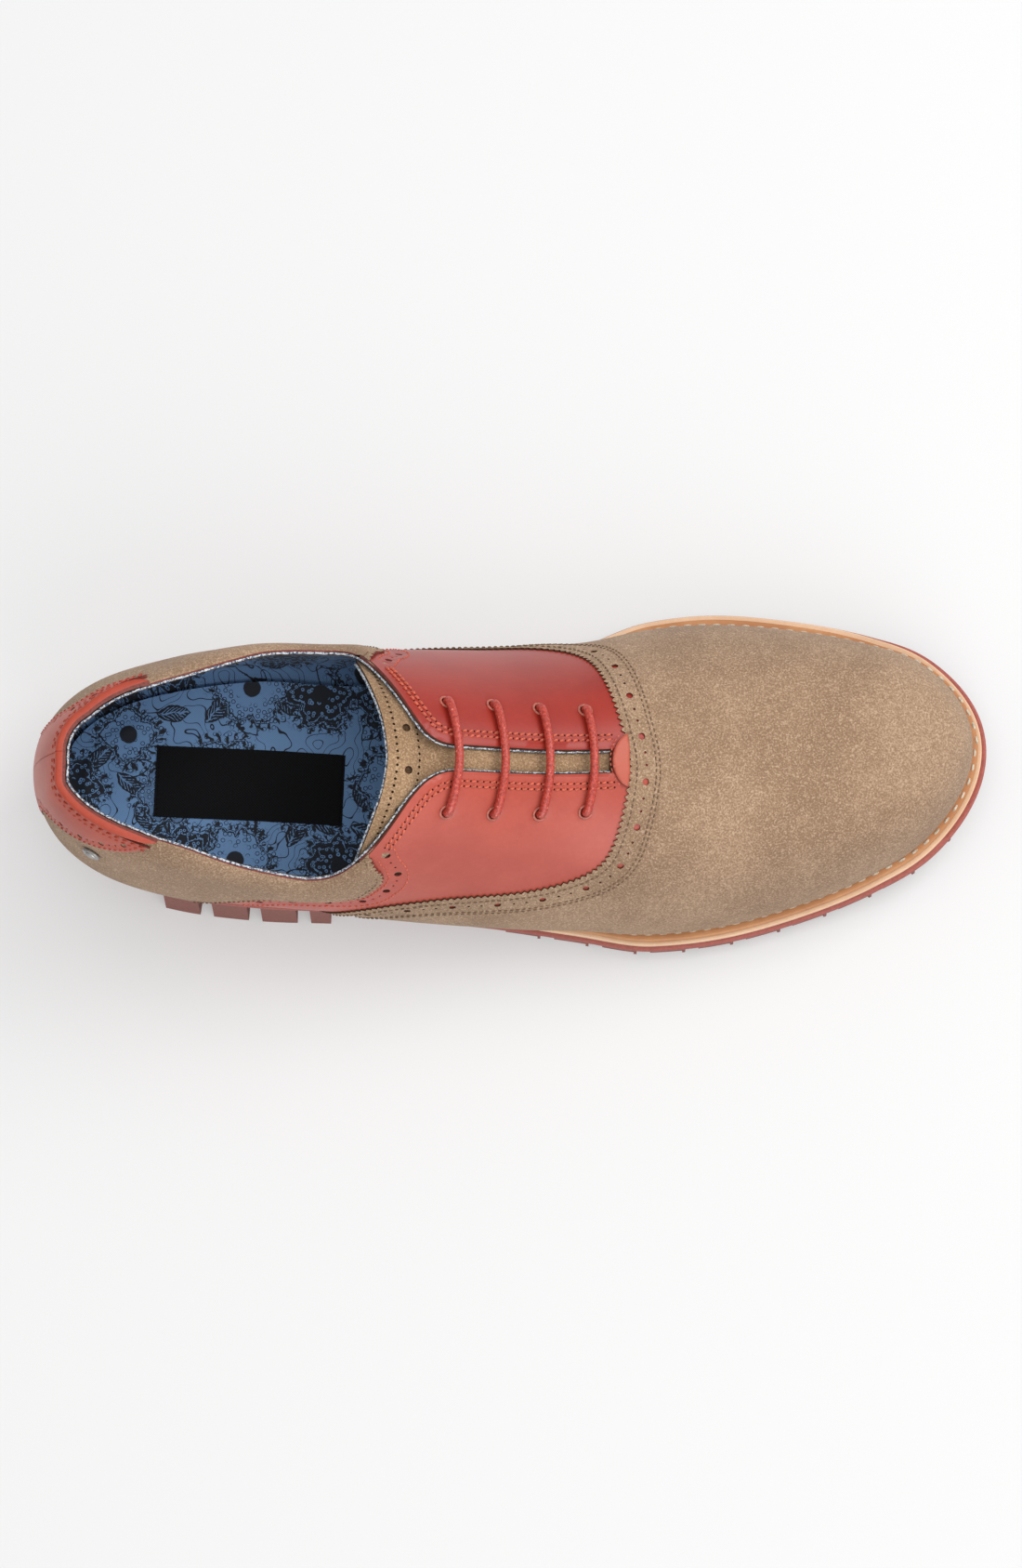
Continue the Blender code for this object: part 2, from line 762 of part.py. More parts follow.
def make_lace_keeper(leather):
    """Half-moon tab across the foot of the throat, straight along the vamp's edge."""
    front = VAMP_POINT - 3 * GAP / LAST_LENGTH
    places = []
    for i in range(TAB_COLUMNS + 1):
        across = -1 + 2 * i / TAB_COLUMNS
        back = front - TAB_LENGTH / LAST_LENGTH * math.sqrt(max(1 - across ** 2, 0.0)) - TAB_BACK
        for station in (back, (back + front) / 2, front - TAB_CURVE * across ** 2):
            turn = along_of(station)
            rise = rise_at_offset(turn, abs(across) * TAB_HALF_WIDTH)
            places.append((turn, rise if across > 0 else 2.0 - rise))
    faces = []
    for i in range(TAB_COLUMNS):
        for j in range(2):
            a = 3 * i + j
            faces.append((a, a + 3, a + 4, a + 1))
    inner = SADDLE_OUTER + 1.5 * GAP
    return sheet_solid("lace_keeper", [(places, faces)], inner, inner + LEATHER_THICKNESS, leather)


def make_tongue():
    """Wide tongue under the facings and the lace, stitched up under the vamp."""
    places = []
    for i in range(TONGUE_ROWS + 1):
        share = i / TONGUE_ROWS
        for j in range(TONGUE_COLUMNS + 1):
            side_share = -1 + 2 * j / TONGUE_COLUMNS
            top = TONGUE_TOP - TONGUE_CURVE * side_share ** 2
            turn = along_of(top + (TONGUE_FRONT - top) * share)
            offset = abs(side_share) * TONGUE_HALF_WIDTH * (1.0 - TONGUE_TAPER * share)
            rise = rise_at_offset(turn, offset)
            places.append((turn, rise if side_share > 0 else 2.0 - rise))
    faces = []
    for i in range(TONGUE_ROWS):
        for j in range(TONGUE_COLUMNS):
            a = i * (TONGUE_COLUMNS + 1) + j
            b = a + TONGUE_COLUMNS + 1
            faces.append((a, a + 1, b + 1, b))

    def outer(turn, rise):
        station = station_of(split_turn(turn)[0])
        seam = ease(station, SEAM_STARTS, SEAM_FULL)
        return TONGUE_DEPTH + (LINING_DEPTH - 2 * GAP - TONGUE_DEPTH) * seam

    def inner(turn, rise):
        return outer(turn, rise) - TONGUE_THICKNESS

    material = plain_material("tongue_suede", (0.33, 0.24, 0.16), 0.95)
    return sheet_solid("tongue", [(places, faces)], inner, outer, material)


def bar_points(number, start_side):
    """Lace from under one facing, up its eyelet, over the throat and down the other eyelet."""
    turn, _ = eyelet_place(number, MEDIAL)
    bend = BEND_SET_IN * LACE_RADIUS / (2 * EYELET_OFFSET)
    shares = [bend] + [i / BAR_STEPS for i in range(1, BAR_STEPS)] + [1 - bend]
    points = [
        hole_point(number, start_side, LACE_UNDER + BEND_RAISE * LACE_RADIUS),
        hole_point(number, start_side, LACE_OVER - BEND_DROP * LACE_RADIUS),
    ]
    for share in shares:
        bulge = LACE_BULGE / LAST_LENGTH * math.sin(math.pi * share)
        here = along_of(station_of(turn) + bulge)
        level = rise_at_offset(here, EYELET_OFFSET * abs(1 - 2 * share))
        medial = (share < 0.5) == (start_side == MEDIAL)
        points.append(last_point(here if medial else 2.0 - here, level, LACE_OVER))
    points.append(hole_point(number, -start_side, LACE_OVER - BEND_DROP * LACE_RADIUS))
    points.append(hole_point(number, -start_side, LACE_UNDER + BEND_RAISE * LACE_RADIUS))
    return points


def hole_point(number, side, depth):
    """Point on the axis of an eyelet."""
    turn, rise = eyelet_place(number, side)
    return last_point(turn, rise, depth)


def run_points(first, last, side, shift):
    """Lace hidden under a facing, from near one eyelet to near another."""
    points = []
    steps = 4 if abs(last - first) > 1 else 2
    for i in range(steps + 1):
        share = i / steps
        ahead = RUN_AHEAD / abs(last - first)
        share = ahead + (1 - 2 * ahead) * share
        station = FIRST_EYELET + EYELET_SPACING / LAST_LENGTH * (first + (last - first) * share)
        turn = along_of(station)
        offset = EYELET_OFFSET + shift * math.sin(math.pi * share)
        rise = rise_at_offset(turn, offset)
        points.append(last_point(turn if side == MEDIAL else 2.0 - turn, rise, LACE_UNDER))
    return points


def make_lace():
    """One lace: four straight bars joined under the facings, both ends hidden by the top eyelets."""
    aside = RUN_ASIDE * LACE_RADIUS
    points = bar_points(0, MEDIAL)
    points += run_points(0, 2, LATERAL, aside)
    points += bar_points(2, LATERAL)
    points += run_points(2, 3, MEDIAL, 0.0)
    points += bar_points(3, MEDIAL)
    points += run_points(3, 1, LATERAL, -aside)
    points += bar_points(1, LATERAL)
    points += run_points(1, RUN_ENDS, MEDIAL, 0.0)
    points.insert(0, hole_point(0, MEDIAL, LACE_UNDER))
    curve = bpy.data.curves.new("lace", "CURVE")
    curve.dimensions = "3D"
    curve.bevel_depth = LACE_RADIUS
    curve.bevel_resolution = 2
    curve.use_fill_caps = True
    line = curve.splines.new("POLY")
    line.points.add(len(points) - 1)
    for knot, point in zip(line.points, points):
        knot.co = (*point, 1.0)
    curve.materials.append(plain_material("lace_cord", (0.40, 0.07, 0.05), 0.5))
    lace = bpy.data.objects.new("lace", curve)
    bpy.context.scene.collection.objects.link(lace)
    return lace


def make_stud():
    """Small plain metal stud on the lateral quarter, just under the backstay."""
    mesh = bmesh.new()
    half = STUD_HEIGHT / 2
    spot = last_point(STUD_TURN, STUD_RISE, SUEDE_DEPTH + GAP + half)
    place = Matrix.Translation(spot)
    place @= surface_normal(STUD_TURN, STUD_RISE).to_track_quat("Z", "Y").to_matrix().to_4x4()
    bmesh.ops.create_cone(
        mesh, cap_ends=True, segments=STUD_SIDES, radius1=STUD_RADIUS, radius2=STUD_RADIUS - half,
        depth=STUD_HEIGHT, matrix=place,
    )
    return add_mesh("stud", mesh, plain_material("stud_metal", (0.42, 0.41, 0.39), 0.35, 1.0))


def layer_solid(name, rings, material, hollow=False):
    """Layer of the sole from rings of a margin and a height, bottom first, each right round the shoe."""
    mesh = bmesh.new()
    turns = full_loop()
    half = len(columns())
    loops = []
    for margin, height in rings:
        loop = []
        for turn in turns:
            flat = outline_point(turn, margin(turn) if callable(margin) else margin)
            loop.append(mesh.verts.new((flat.x, flat.y, height(feather_point(turn).x))))
        loops.append(loop)
    stacked = loops + loops[:1] if hollow else loops
    for lower, upper in zip(stacked, stacked[1:]):
        for i in range(len(turns)):
            j = (i + 1) % len(turns)
            mesh.faces.new((lower[i], lower[j], upper[j], upper[i]))
    for loop in (() if hollow else (loops[0], loops[-1])):
        for i in range(half - 1):
            corners = [loop[i], loop[i + 1], loop[-(i + 1)], loop[-i]] if i else [loop[0], loop[1], loop[-1]]
            if i == half - 2:
                corners = [loop[i], loop[i + 1], loop[-i]]
            mesh.faces.new(corners)
    return add_mesh(name, mesh, material)


def make_insole():
    """Cupped footbed that also fills the middle of the welt."""
    edge = LINING_DEPTH - GAP
    plug = -WELT_INSIDE - GAP
    return layer_solid(
        "insole",
        [
            (plug, welt_floor),
            (plug, upper_floor),
            (edge, upper_floor),
            (edge, lambda x: upper_floor(x) + INSOLE_THICKNESS),
            (edge - CUP_EDGE / 3, lambda x: upper_floor(x) + INSOLE_THICKNESS - 0.6 * INSOLE_CUP),
            (edge - CUP_EDGE, lambda x: upper_floor(x) + INSOLE_THICKNESS - INSOLE_CUP),
        ],
        plain_material("insole_cloth", (0.07, 0.14, 0.30), 0.85),
    )


def make_welt():
    """Strip of natural leather that the upper stands on."""
    chamfer = WELT_THICKNESS / 5
    return layer_solid(
        "welt",
        [
            (welt_edge, welt_floor),
            (welt_edge, lambda x: welt_floor(x) + WELT_THICKNESS - chamfer),
            (lambda turn: welt_edge(turn) - chamfer, lambda x: welt_floor(x) + WELT_THICKNESS),
            (-WELT_INSIDE, lambda x: welt_floor(x) + WELT_THICKNESS),
            (-WELT_INSIDE, welt_floor),
        ],
        plain_material("welt_leather", (0.55, 0.30, 0.12), 0.55),
        hollow=True,
    )


def make_midsole():
    """Thin layer of light leather."""

    def edge(turn):
        return welt_edge(turn) + MIDSOLE_EDGE

    return layer_solid(
        "midsole",
        [(edge, midsole_floor), (edge, lambda x: midsole_floor(x) + MIDSOLE_THICKNESS)],
        plain_material("midsole_leather", (0.72, 0.55, 0.38), 0.65),
    )


def outsole_edge(turn):
    """How far the outsole's rim stands out past the last's edge."""
    return welt_edge(turn) + OUTSOLE_EDGE


def tread_notches():
    """Gaps between the lugs, cut in from both sides at the heel and under the forefoot."""
    mesh = bmesh.new()
    gap = LUG_PITCH - LUG_LENGTH
    for side in (MEDIAL, LATERAL):
        travelled = LUG_PITCH / 2
        last = outline_point(0.0, outsole_edge(0.0))
        for i in range(1, WALK_STEPS):
            along = i / WALK_STEPS
            turn = along if side == MEDIAL else 2.0 - along
            spot = outline_point(turn, outsole_edge(turn))
            travelled += (spot - last).length
            last = spot
            if travelled < LUG_PITCH:
                continue
            travelled -= LUG_PITCH
            if in_arch(spot.x):
                continue
            inward = (outline_point(turn, 0.0) - outline_point(turn, 1.0)).normalized()
            x_axis = Vector((inward.x, inward.y, 0.0))
            frame = Matrix((x_axis, Vector((-inward.y, inward.x, 0.0)), Vector((0, 0, 1)))).transposed()
            height = 2 * TREAD_DEPTH
            middle = Vector((spot.x, spot.y, tread_floor(spot.x)))
            size = Matrix.Diagonal((2 * LUG_REACH, gap, height, 1.0))
            bmesh.ops.create_cube(mesh, size=1.0, matrix=Matrix.Translation(middle) @ frame.to_4x4() @ size)
    return as_cutter(add_mesh("tread_notches", mesh))


def in_arch(x):
    """Whether a length from the heel lies where the sole is off the floor, or too near its ends."""
    return heel_breast() - LUG_PITCH / 2 < x < LAST_LENGTH * (BALL_START - 0.10)


def make_outsole():
    """One-piece rubber sole and heel with a groove under its rim and lugs round its tread."""

    def rim_floor(x):
        return outsole_top(x) - RIM_HEIGHT

    def waist(turn):
        return outsole_edge(turn) - OUTSOLE_CHAMFER

    def groove(turn):
        return outsole_edge(turn) - OUTSOLE_CHAMFER - GROOVE_DEPTH

    outsole = layer_solid(
        "outsole",
        [
            (lambda turn: waist(turn) - OUTSOLE_CHAMFER, tread_floor),
            (waist, lambda x: tread_floor(x) + OUTSOLE_CHAMFER),
            (waist, lambda x: rim_floor(x) - 2 * GROOVE_DEPTH),
            (groove, lambda x: rim_floor(x) - GROOVE_DEPTH),
            (outsole_edge, rim_floor),
            (outsole_edge, lambda x: outsole_top(x) - OUTSOLE_CHAMFER / 2),
            (lambda turn: outsole_edge(turn) - OUTSOLE_CHAMFER / 2, outsole_top),
        ],
        plain_material("outsole_rubber", (0.42, 0.10, 0.07), 0.6),
    )
    combine(outsole, tread_notches(), "DIFFERENCE")
    return outsole


def centre_on_floor():
    """Move everything so that the origin lies on the floor under the middle of the shoe."""
    graph = bpy.context.evaluated_depsgraph_get()
    places = []
    for made in bpy.context.scene.objects:
        if not made.hide_render:
            cut = made.evaluated_get(graph)
            places.extend(vertex.co.copy() for vertex in cut.to_mesh().vertices)
            cut.to_mesh_clear()
    middle_x = (min(place.x for place in places) + max(place.x for place in places)) / 2
    middle_y = (min(place.y for place in places) + max(place.y for place in places)) / 2
    for made in bpy.context.scene.objects:
        made.location = (-middle_x, -middle_y, 0.0)


def main():
    """Build the shoe."""
    for old in list(bpy.data.objects):
        bpy.data.objects.remove(old)
    leather = plain_material("saddle_leather", (0.47, 0.11, 0.07), 0.45)
    punches = eyelet_holes()
    make_upper(punches)
    make_saddle("saddle_medial", MEDIAL, punches, leather)
    make_saddle("saddle_lateral", LATERAL, punches, leather)
    make_backstay(leather)
    make_lace_keeper(leather)
    make_tongue()
    make_lace()
    make_stud()
    make_insole()
    make_welt()
    make_midsole()
    make_outsole()
    centre_on_floor()


if __name__ == "__main__":
    main()
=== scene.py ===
"""Looks of a right saddle shoe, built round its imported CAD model.

Words used below. Along: 0 at the heel and 1 at the toe, crowded at both ends. Station: share of the last's
length. Rise: way round a section of the last, 0 at the medial welt, 1 on the ridge and 2 at the lateral welt.
Depth: distance out from the last's surface. A chart is the plane of along and rise, in which every piece of
the upper is cut like a pattern and then laid on the last. Lengths are in metres.
"""

import logging
import math
from dataclasses import dataclass, field
from enum import Enum
from typing import Callable, Sequence

import bpy
import numpy as np
from mathutils import Matrix, Vector
from mathutils.geometry import delaunay_2d_cdt


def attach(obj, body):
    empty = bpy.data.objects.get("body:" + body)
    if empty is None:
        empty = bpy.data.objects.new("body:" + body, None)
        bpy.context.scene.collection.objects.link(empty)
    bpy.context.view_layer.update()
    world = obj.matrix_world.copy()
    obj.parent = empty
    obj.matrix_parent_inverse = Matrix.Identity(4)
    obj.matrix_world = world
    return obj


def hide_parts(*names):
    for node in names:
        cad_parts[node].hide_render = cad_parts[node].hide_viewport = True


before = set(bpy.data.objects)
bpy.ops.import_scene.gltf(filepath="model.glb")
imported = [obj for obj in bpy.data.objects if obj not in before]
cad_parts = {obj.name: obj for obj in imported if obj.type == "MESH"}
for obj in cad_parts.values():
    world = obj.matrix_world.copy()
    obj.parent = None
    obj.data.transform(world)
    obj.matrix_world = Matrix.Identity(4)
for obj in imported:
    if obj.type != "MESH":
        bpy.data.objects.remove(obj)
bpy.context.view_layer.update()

log = logging.getLogger("saddle_shoe")
Array = np.ndarray
Colour = tuple[float, float, float]
Depth = float | Callable[[Array, Array], Array]
Curve = Callable[[Array], Array]
Material = bpy.types.Material
Socket = bpy.types.NodeSocket
Node = bpy.types.Node
Tree = bpy.types.NodeTree

# Where the heel's edge lies from the CAD model's origin
HEEL_EDGE = (-0.14525, -0.005531)

# Station, medial and lateral half widths, fullness of the section, heel swell and height of its bulge
SECTIONS = (
    (0.00, 1.27, 1.27, 3.60, 1.00, 0.28), (0.06, 0.525, 0.54, 3.20, 1.00, 0.28),
    (0.13, 0.655, 0.68, 2.85, 1.00, 0.28), (0.22, 0.72, 0.75, 2.80, 1.05, 0.28),
    (0.33, 0.70, 0.78, 2.50, 1.40, 0.28), (0.45, 0.75, 0.85, 2.10, 1.30, 0.27),
    (0.56, 0.855, 0.93, 1.95, 0.80, 0.25), (0.65, 0.99, 1.00, 2.05, 0.50, 0.25),
    (0.73, 0.99, 0.975, 2.15, 0.40, 0.28), (0.81, 0.905, 0.88, 2.30, 0.35, 0.30),
    (0.89, 0.755, 0.735, 2.45, 0.30, 0.32), (0.95, 0.56, 0.555, 2.50, 0.30, 0.33),
    (1.00, 1.27, 1.30, 2.50, 0.30, 0.33),
)

# Station, height of the ridge and its offset to the lateral side
RIDGE = (
    (0.00, 0.920, 0.0), (0.12, 0.925, 0.0), (0.22, 0.960, 0.3), (0.30, 0.995, 0.7), (0.36, 1.000, 1.0),
    (0.43, 0.960, 1.0), (0.52, 0.850, 1.0), (0.61, 0.745, 0.8), (0.70, 0.640, 0.4), (0.78, 0.560, 0.1),
    (0.85, 0.500, 0.0), (1.00, 0.420, 0.0),
)

# Station, then how far the welt stands out on the medial and the lateral side
MARGINS = (
    (0.00, -0.15, -0.15), (0.20, -0.15, 0.00), (0.38, -0.10, 0.15), (0.50, 0.15, 0.30),
    (0.58, 0.50, 0.60), (0.65, 0.85, 0.90), (0.73, 1.00, 0.90), (0.85, 0.95, 0.90), (1.00, 0.80, 0.80),
)

# Station, then the rise of the collar's edge on the medial and the lateral side
COLLAR = (
    (0.00, 0.565, 0.565), (0.06, 0.610, 0.590), (0.14, 0.590, 0.555), (0.24, 0.375, 0.380),
    (0.280, 0.318, 0.340), (0.300, 0.318, 0.362), (0.320, 0.348, 0.428), (0.340, 0.475, 0.525),
    (0.360, 0.625, 0.650), (0.375, 0.740, 0.760), (0.388, 0.840, 0.850), (0.403, 0.920, 0.910),
    (0.430, 0.955, 0.945),
)

# Station, then the rise of the suede quarter's edge over the saddle on each side
QUARTER_LINE = (
    (0.140, 0.00, 0.00), (0.200, 0.09, 0.10), (0.240, 0.14, 0.16), (0.290, 0.17, 0.20),
    (0.335, 0.20, 0.25), (0.350, 0.25, 0.32), (0.357, 0.40, 0.45), (0.362, 0.70, 0.75),
)

# Station, then the rise of the suede vamp's edge over the saddle on each side
VAMP_LINE = (
    (0.285, 0.00, 0.00), (0.330, 0.08, 0.13), (0.370, 0.12, 0.22), (0.430, 0.165, 0.305),
    (0.500, 0.23, 0.362), (0.555, 0.32, 0.425), (0.584, 0.46, 0.485), (0.600, 0.615, 0.545),
    (0.616, 0.80, 0.71), (0.626, 0.93, 0.85), (0.634, 1.00, 1.00),
)

# Along, then the rise of the backstay's lower edge on each side
STAY_LINE = (
    (0.000, -0.04, -0.04), (0.046, -0.04, -0.04), (0.060, 0.20, 0.14), (0.100, 0.39, 0.25),
    (0.130, 0.45, 0.30), (0.165, 0.49, 0.365), (0.195, 0.545, 0.44), (0.220, 0.61, 0.54),
)

# Station, then the rise at which the quarter's pointed tip curls back to the collar on each side
QUARTER_TIP = (
    (0.3485, 0.265, 0.317), (0.3560, 0.300, 0.350), (0.3600, 0.335, 0.390), (0.3585, 0.365, 0.430),
    (0.3520, 0.385, 0.458), (0.3440, 0.400, 0.475),
)

# Station, then how far the collar leans out on each side, in metres
LEAN = (
    (0.000, 0.0, 0.0), (0.010, -0.0012, 0.0024), (0.020, -0.0022, 0.0023), (0.050, -0.0014, 0.0024),
    (0.090, -0.0006, 0.0028), (0.120, 0.0002, 0.0034), (0.160, 0.0008, 0.0035), (0.200, 0.0006, 0.0030),
    (0.240, 0.0014, 0.0023), (0.310, 0.0026, 0.0020), (0.370, 0.0004, 0.0004), (0.420, 0.0, 0.0),
)

MEDIAL = 1
LATERAL = -1


class Slot(Enum):
    """Names of the material slots."""

    SUEDE = "suede"
    LEATHER = "saddle_leather"
    TONGUE = "tongue_suede"
    CORD = "lace_cord"
    METAL = "stud_metal"
    CLOTH = "insole_cloth"
    WELT = "welt_leather"
    MIDSOLE = "midsole_leather"
    RUBBER = "outsole_rubber"


def read_rows(rows: Sequence[Sequence[float]], column: int, place: Array) -> Array:
    """Read one column of a table as a smooth line that doesn't overshoot its rows.

    Args:
        rows: The table, sorted by its first column.
        column: Which column to read.
        place: Where to read it, in the first column's terms.

    Returns:
        The column's value at each place.
    """
    xs = np.array([row[0] for row in rows])
    ys = np.array([row[column] for row in rows])
    steps = np.diff(ys) / np.diff(xs)
    before, after = steps[:-1], steps[1:]
    total = np.where(before + after == 0, 1.0, before + after)
    inner = np.where(before * after > 0, 2 * before * after / total, 0.0)
    tangents = np.concatenate([[steps[0]], inner, [steps[-1]]])
    place = np.clip(place, xs[0], xs[-1])
    i = np.clip(np.searchsorted(xs, place, side="right") - 1, 0, len(xs) - 2)
    width = xs[i + 1] - xs[i]
    t = (place - xs[i]) / width
    start = (1 + 2 * t) * (1 - t) ** 2 * ys[i] + t * (1 - t) ** 2 * width * tangents[i]
    return start + t * t * (3 - 2 * t) * ys[i + 1] + t * t * (t - 1) * width * tangents[i + 1]


def ease(value: Array, start: float, end: float) -> Array:
    """Return 0 before the start, 1 after the end, and a smooth way between."""
    t = np.clip((value - start) / (end - start), 0.0, 1.0)
    return t * t * (3 - 2 * t)


def station_of(along: Array) -> Array:
    """Return the station of an along value."""
    return (1 - np.cos(np.pi * along)) / 2


def along_of(station: Array) -> Array:
    """Return the along value of a station."""
    return np.arccos(1 - 2 * np.asarray(station, float)) / np.pi


def unit(vectors: Array) -> Array:
    """Return the vectors at length 1."""
    return vectors / np.maximum(np.linalg.norm(vectors, axis=-1, keepdims=True), 1e-12)


def run_along(points: Array) -> Array:
    """Return the length of a line up to each of its points."""
    return np.concatenate([[0.0], np.cumsum(np.linalg.norm(np.diff(points, axis=0), axis=1))])


@dataclass(frozen=True)
class Last:
    """The foot form on which the whole shoe is made."""

    length: float = 0.2914
    ball_width: float = 0.0972
    instep: float = 0.0780
    heel_swell: float = 0.0038
    toe_swing: float = 0.0136
    swing_power: float = 2.6
    ridge_offset: float = 0.0038
    heel_turn: float = 0.0350
    toe_turn: float = 0.0450
    turn_softness: float = 0.18
    swell_fade: float = 4.0
    flat_foot: float = 0.05
    slim_medial: float = 0.0016
    slim_lateral: float = 0.0002
    throat_gap: float = 0.0066
    throat_top: float = 0.430
    throat_base: float = 0.610

    def feather(self, along: Array, side: Array) -> Array:
        """Return the plan position of the last's edge on the welt.

        Args:
            along: Along values.
            side: Above 0 for the medial side, below for the lateral side.

        Returns:
            A pair of lengths for each value.
        """
        station = station_of(along)
        x = self.length * station
        widths = []
        for column in (1, 2):
            rows = [
                (row[0], row[column] / (2 * math.sqrt(row[0] * (1 - row[0])) if 0 < row[0] < 1 else 1.0))
                for row in SECTIONS
            ]
            widths.append(read_rows(rows, 1, station))
        share = np.where(side > 0, widths[0], widths[1])
        return np.stack([x, self.swing(x) + side * self.ball_width / 2 * np.sin(np.pi * along) * share], -1)

    def swing(self, x: Array) -> Array:
        """Return how far the last's middle has swung to the medial side at a length."""
        return self.toe_swing * np.maximum(x / self.length, 0.0) ** self.swing_power

    def split(self, along: Array, rise: Array) -> tuple[Array, Array, Array]:
        """Return the along value, the side and the rise from that side's welt."""
        along, rise = np.broadcast_arrays(np.asarray(along, float), np.asarray(rise, float))
        side = np.where(rise > 1.0, -1.0, 1.0)
        past = (along < 0) | (along > 1)
        inside = np.where(along < 0, -along, np.where(along > 1, 2 - along, along))
        side = np.where(past, -side, side)
        return inside, side, np.where(rise > 1.0, 2.0 - rise, rise)

    def surface(self, along: Array, rise: Array) -> Array:
        """Return the points of the last's surface at places on the chart.

        Args:
            along: Along values. Past 0 or 1 the surface goes on round the heel or the toe.
            rise: Rises, past 1 on the lateral side.

        Returns:
            One point for each place.
        """
        along, side, rise = self.split(along, rise)
        station = station_of(along)
        feather = self.feather(along, side)
        first = self.heel_turn / self.length
        last = 1 - self.toe_turn / self.length
        share = (station - first) / (last - first)
        soft = (np.hypot(share, self.turn_softness) - np.hypot(share - 1, self.turn_softness) + 1) / 2
        ridge_station = first + (last - first) * soft
        ridge_x = self.length * ridge_station
        ridge_y = self.swing(ridge_x) - self.ridge_offset * read_rows(RIDGE, 2, ridge_station)
        spine = np.stack([ridge_x, ridge_y], -1)
        front = ease(station, 0.50, 0.66)
        at_toe = ease(station, 0.84, 0.99)
        lateral_slim = self.slim_lateral + (self.slim_medial - self.slim_lateral) * at_toe
        slim = front * np.where(side > 0, self.slim_medial, lateral_slim)
        feather = feather + unit(spine - feather) * slim[..., None]
        foot = SOLE.upper_floor(feather[..., 0])
        top = SOLE.upper_floor(ridge_x) + self.instep * read_rows(RIDGE, 1, ridge_station)
        fullness = read_rows(SECTIONS, 3, station)
        swell = self.heel_swell * read_rows(SECTIONS, 4, station) * (1 - 0.8 * front)
        bulge = read_rows(SECTIONS, 5, station)
        angle = np.maximum(rise, 0.0) * np.pi / 2
        plan = np.maximum(np.cos(angle), 0.0) ** (2 / fullness)
        height = np.sin(angle) ** (2 / fullness)
        out = swell * height / bulge * np.exp(1 - height / bulge) * np.minimum(1.0, self.swell_fade * plan)
        lean = np.where(side > 0, read_rows(LEAN, 1, station), read_rows(LEAN, 2, station))
        out = out + lean * ease(rise, 0.10, 0.50) * ease(rise, 0.98, 0.75)
        flat = spine + (feather - spine) * plan[..., None] + unit(feather - spine) * out[..., None]
        z = foot + (top - foot) * (height + np.minimum(rise, 0.0))
        return np.concatenate([flat, z[..., None]], -1)

    def spans(self, along: Array, rise: Array, step: float = 0.004) -> tuple[Array, Array]:
        """Return how the surface moves per unit of along and of rise."""
        along, rise = np.broadcast_arrays(np.asarray(along, float), np.asarray(rise, float))
        here = np.clip(rise, step, 2 - step)
        by_along = (self.surface(along + step, here) - self.surface(along - step, here)) / (2 * step)
        by_rise = (self.surface(along, here + step) - self.surface(along, here - step)) / (2 * step)
        return by_along, by_rise

    def normal(self, along: Array, rise: Array) -> Array:
        """Return the outward directions of the surface."""
        along, rise = np.broadcast_arrays(np.asarray(along, float), np.asarray(rise, float))
        by_along, by_rise = self.spans(along, rise)
        normal = unit(np.cross(by_rise, by_along))
        low = np.where(rise > 1.0, 2 - rise, rise)
        normal[..., 2] *= np.clip(low / self.flat_foot, 0.0, 1.0)
        return normal

    def point(self, along: Array, rise: Array, depth: Depth) -> Array:
        """Return points at a depth from the surface.

        Args:
            along: Along values.
            rise: Rises.
            depth: Distance outside the surface, or how to find it from along and rise.

        Returns:
            The points, in the CAD model's frame.
        """
        reach = depth(along, rise) if callable(depth) else depth
        normal = self.normal(along, rise)
        spot = self.surface(along, rise) + normal * np.broadcast_to(reach, normal.shape[:-1])[..., None]
        spot[..., 0] += HEEL_EDGE[0]
        spot[..., 1] += HEEL_EDGE[1]
        return spot

    def at(self, places: Array, depth: Depth) -> Array:
        """Return points at a depth from places on the chart."""
        return self.point(places[..., 0], places[..., 1], depth)

    def rise_at_offset(self, along: Array, offset: Array, side: int) -> Array:
        """Return the rise at a plan distance from the ridge.

        Args:
            along: Along values.
            offset: Distance from the ridge.
            side: Which side of the shoe.

        Returns:
            Rises counted from that side's welt.
        """
        along = np.asarray(along, float)
        edge = self.surface(along, np.zeros_like(along) if side == MEDIAL else np.full_like(along, 2.0))
        ridge = self.surface(along, np.ones_like(along))
        span = np.linalg.norm((edge - ridge)[..., :2], axis=-1)
        fullness = read_rows(SECTIONS, 3, station_of(along))
        share = np.minimum(offset / span, 1.0)
        return np.arccos(share ** (fullness / 2)) / (np.pi / 2)

    def opening(self, along: Array, side: int) -> Array:
        """Return the rise of the opening's edge: the collar, then the facing beside the throat.

        Args:
            along: Along values.
            side: Which side of the shoe.

        Returns:
            Rises counted from that side's welt.
        """
        grid = np.linspace(0.0, 1.0, 1201)
        station = station_of(grid)
        collar = read_rows(COLLAR, 1 if side == MEDIAL else 2, station)
        facing = self.rise_at_offset(grid, self.throat_gap / 2, side)
        share = ease(station, self.throat_top - 0.030, self.throat_top + 0.010)
        line = collar + (facing - collar) * share
        reach = np.arange(-18, 19)
        weights = np.exp(-((reach / 8.0) ** 2))
        mirrored = np.concatenate([line[18:0:-1], line, line[-2:-20:-1]])
        soft = np.convolve(mirrored, weights / weights.sum(), mode="valid")
        keep = ease(station, self.throat_top + 0.01, self.throat_top + 0.05)
        return np.interp(along, grid, soft + (line - soft) * keep)


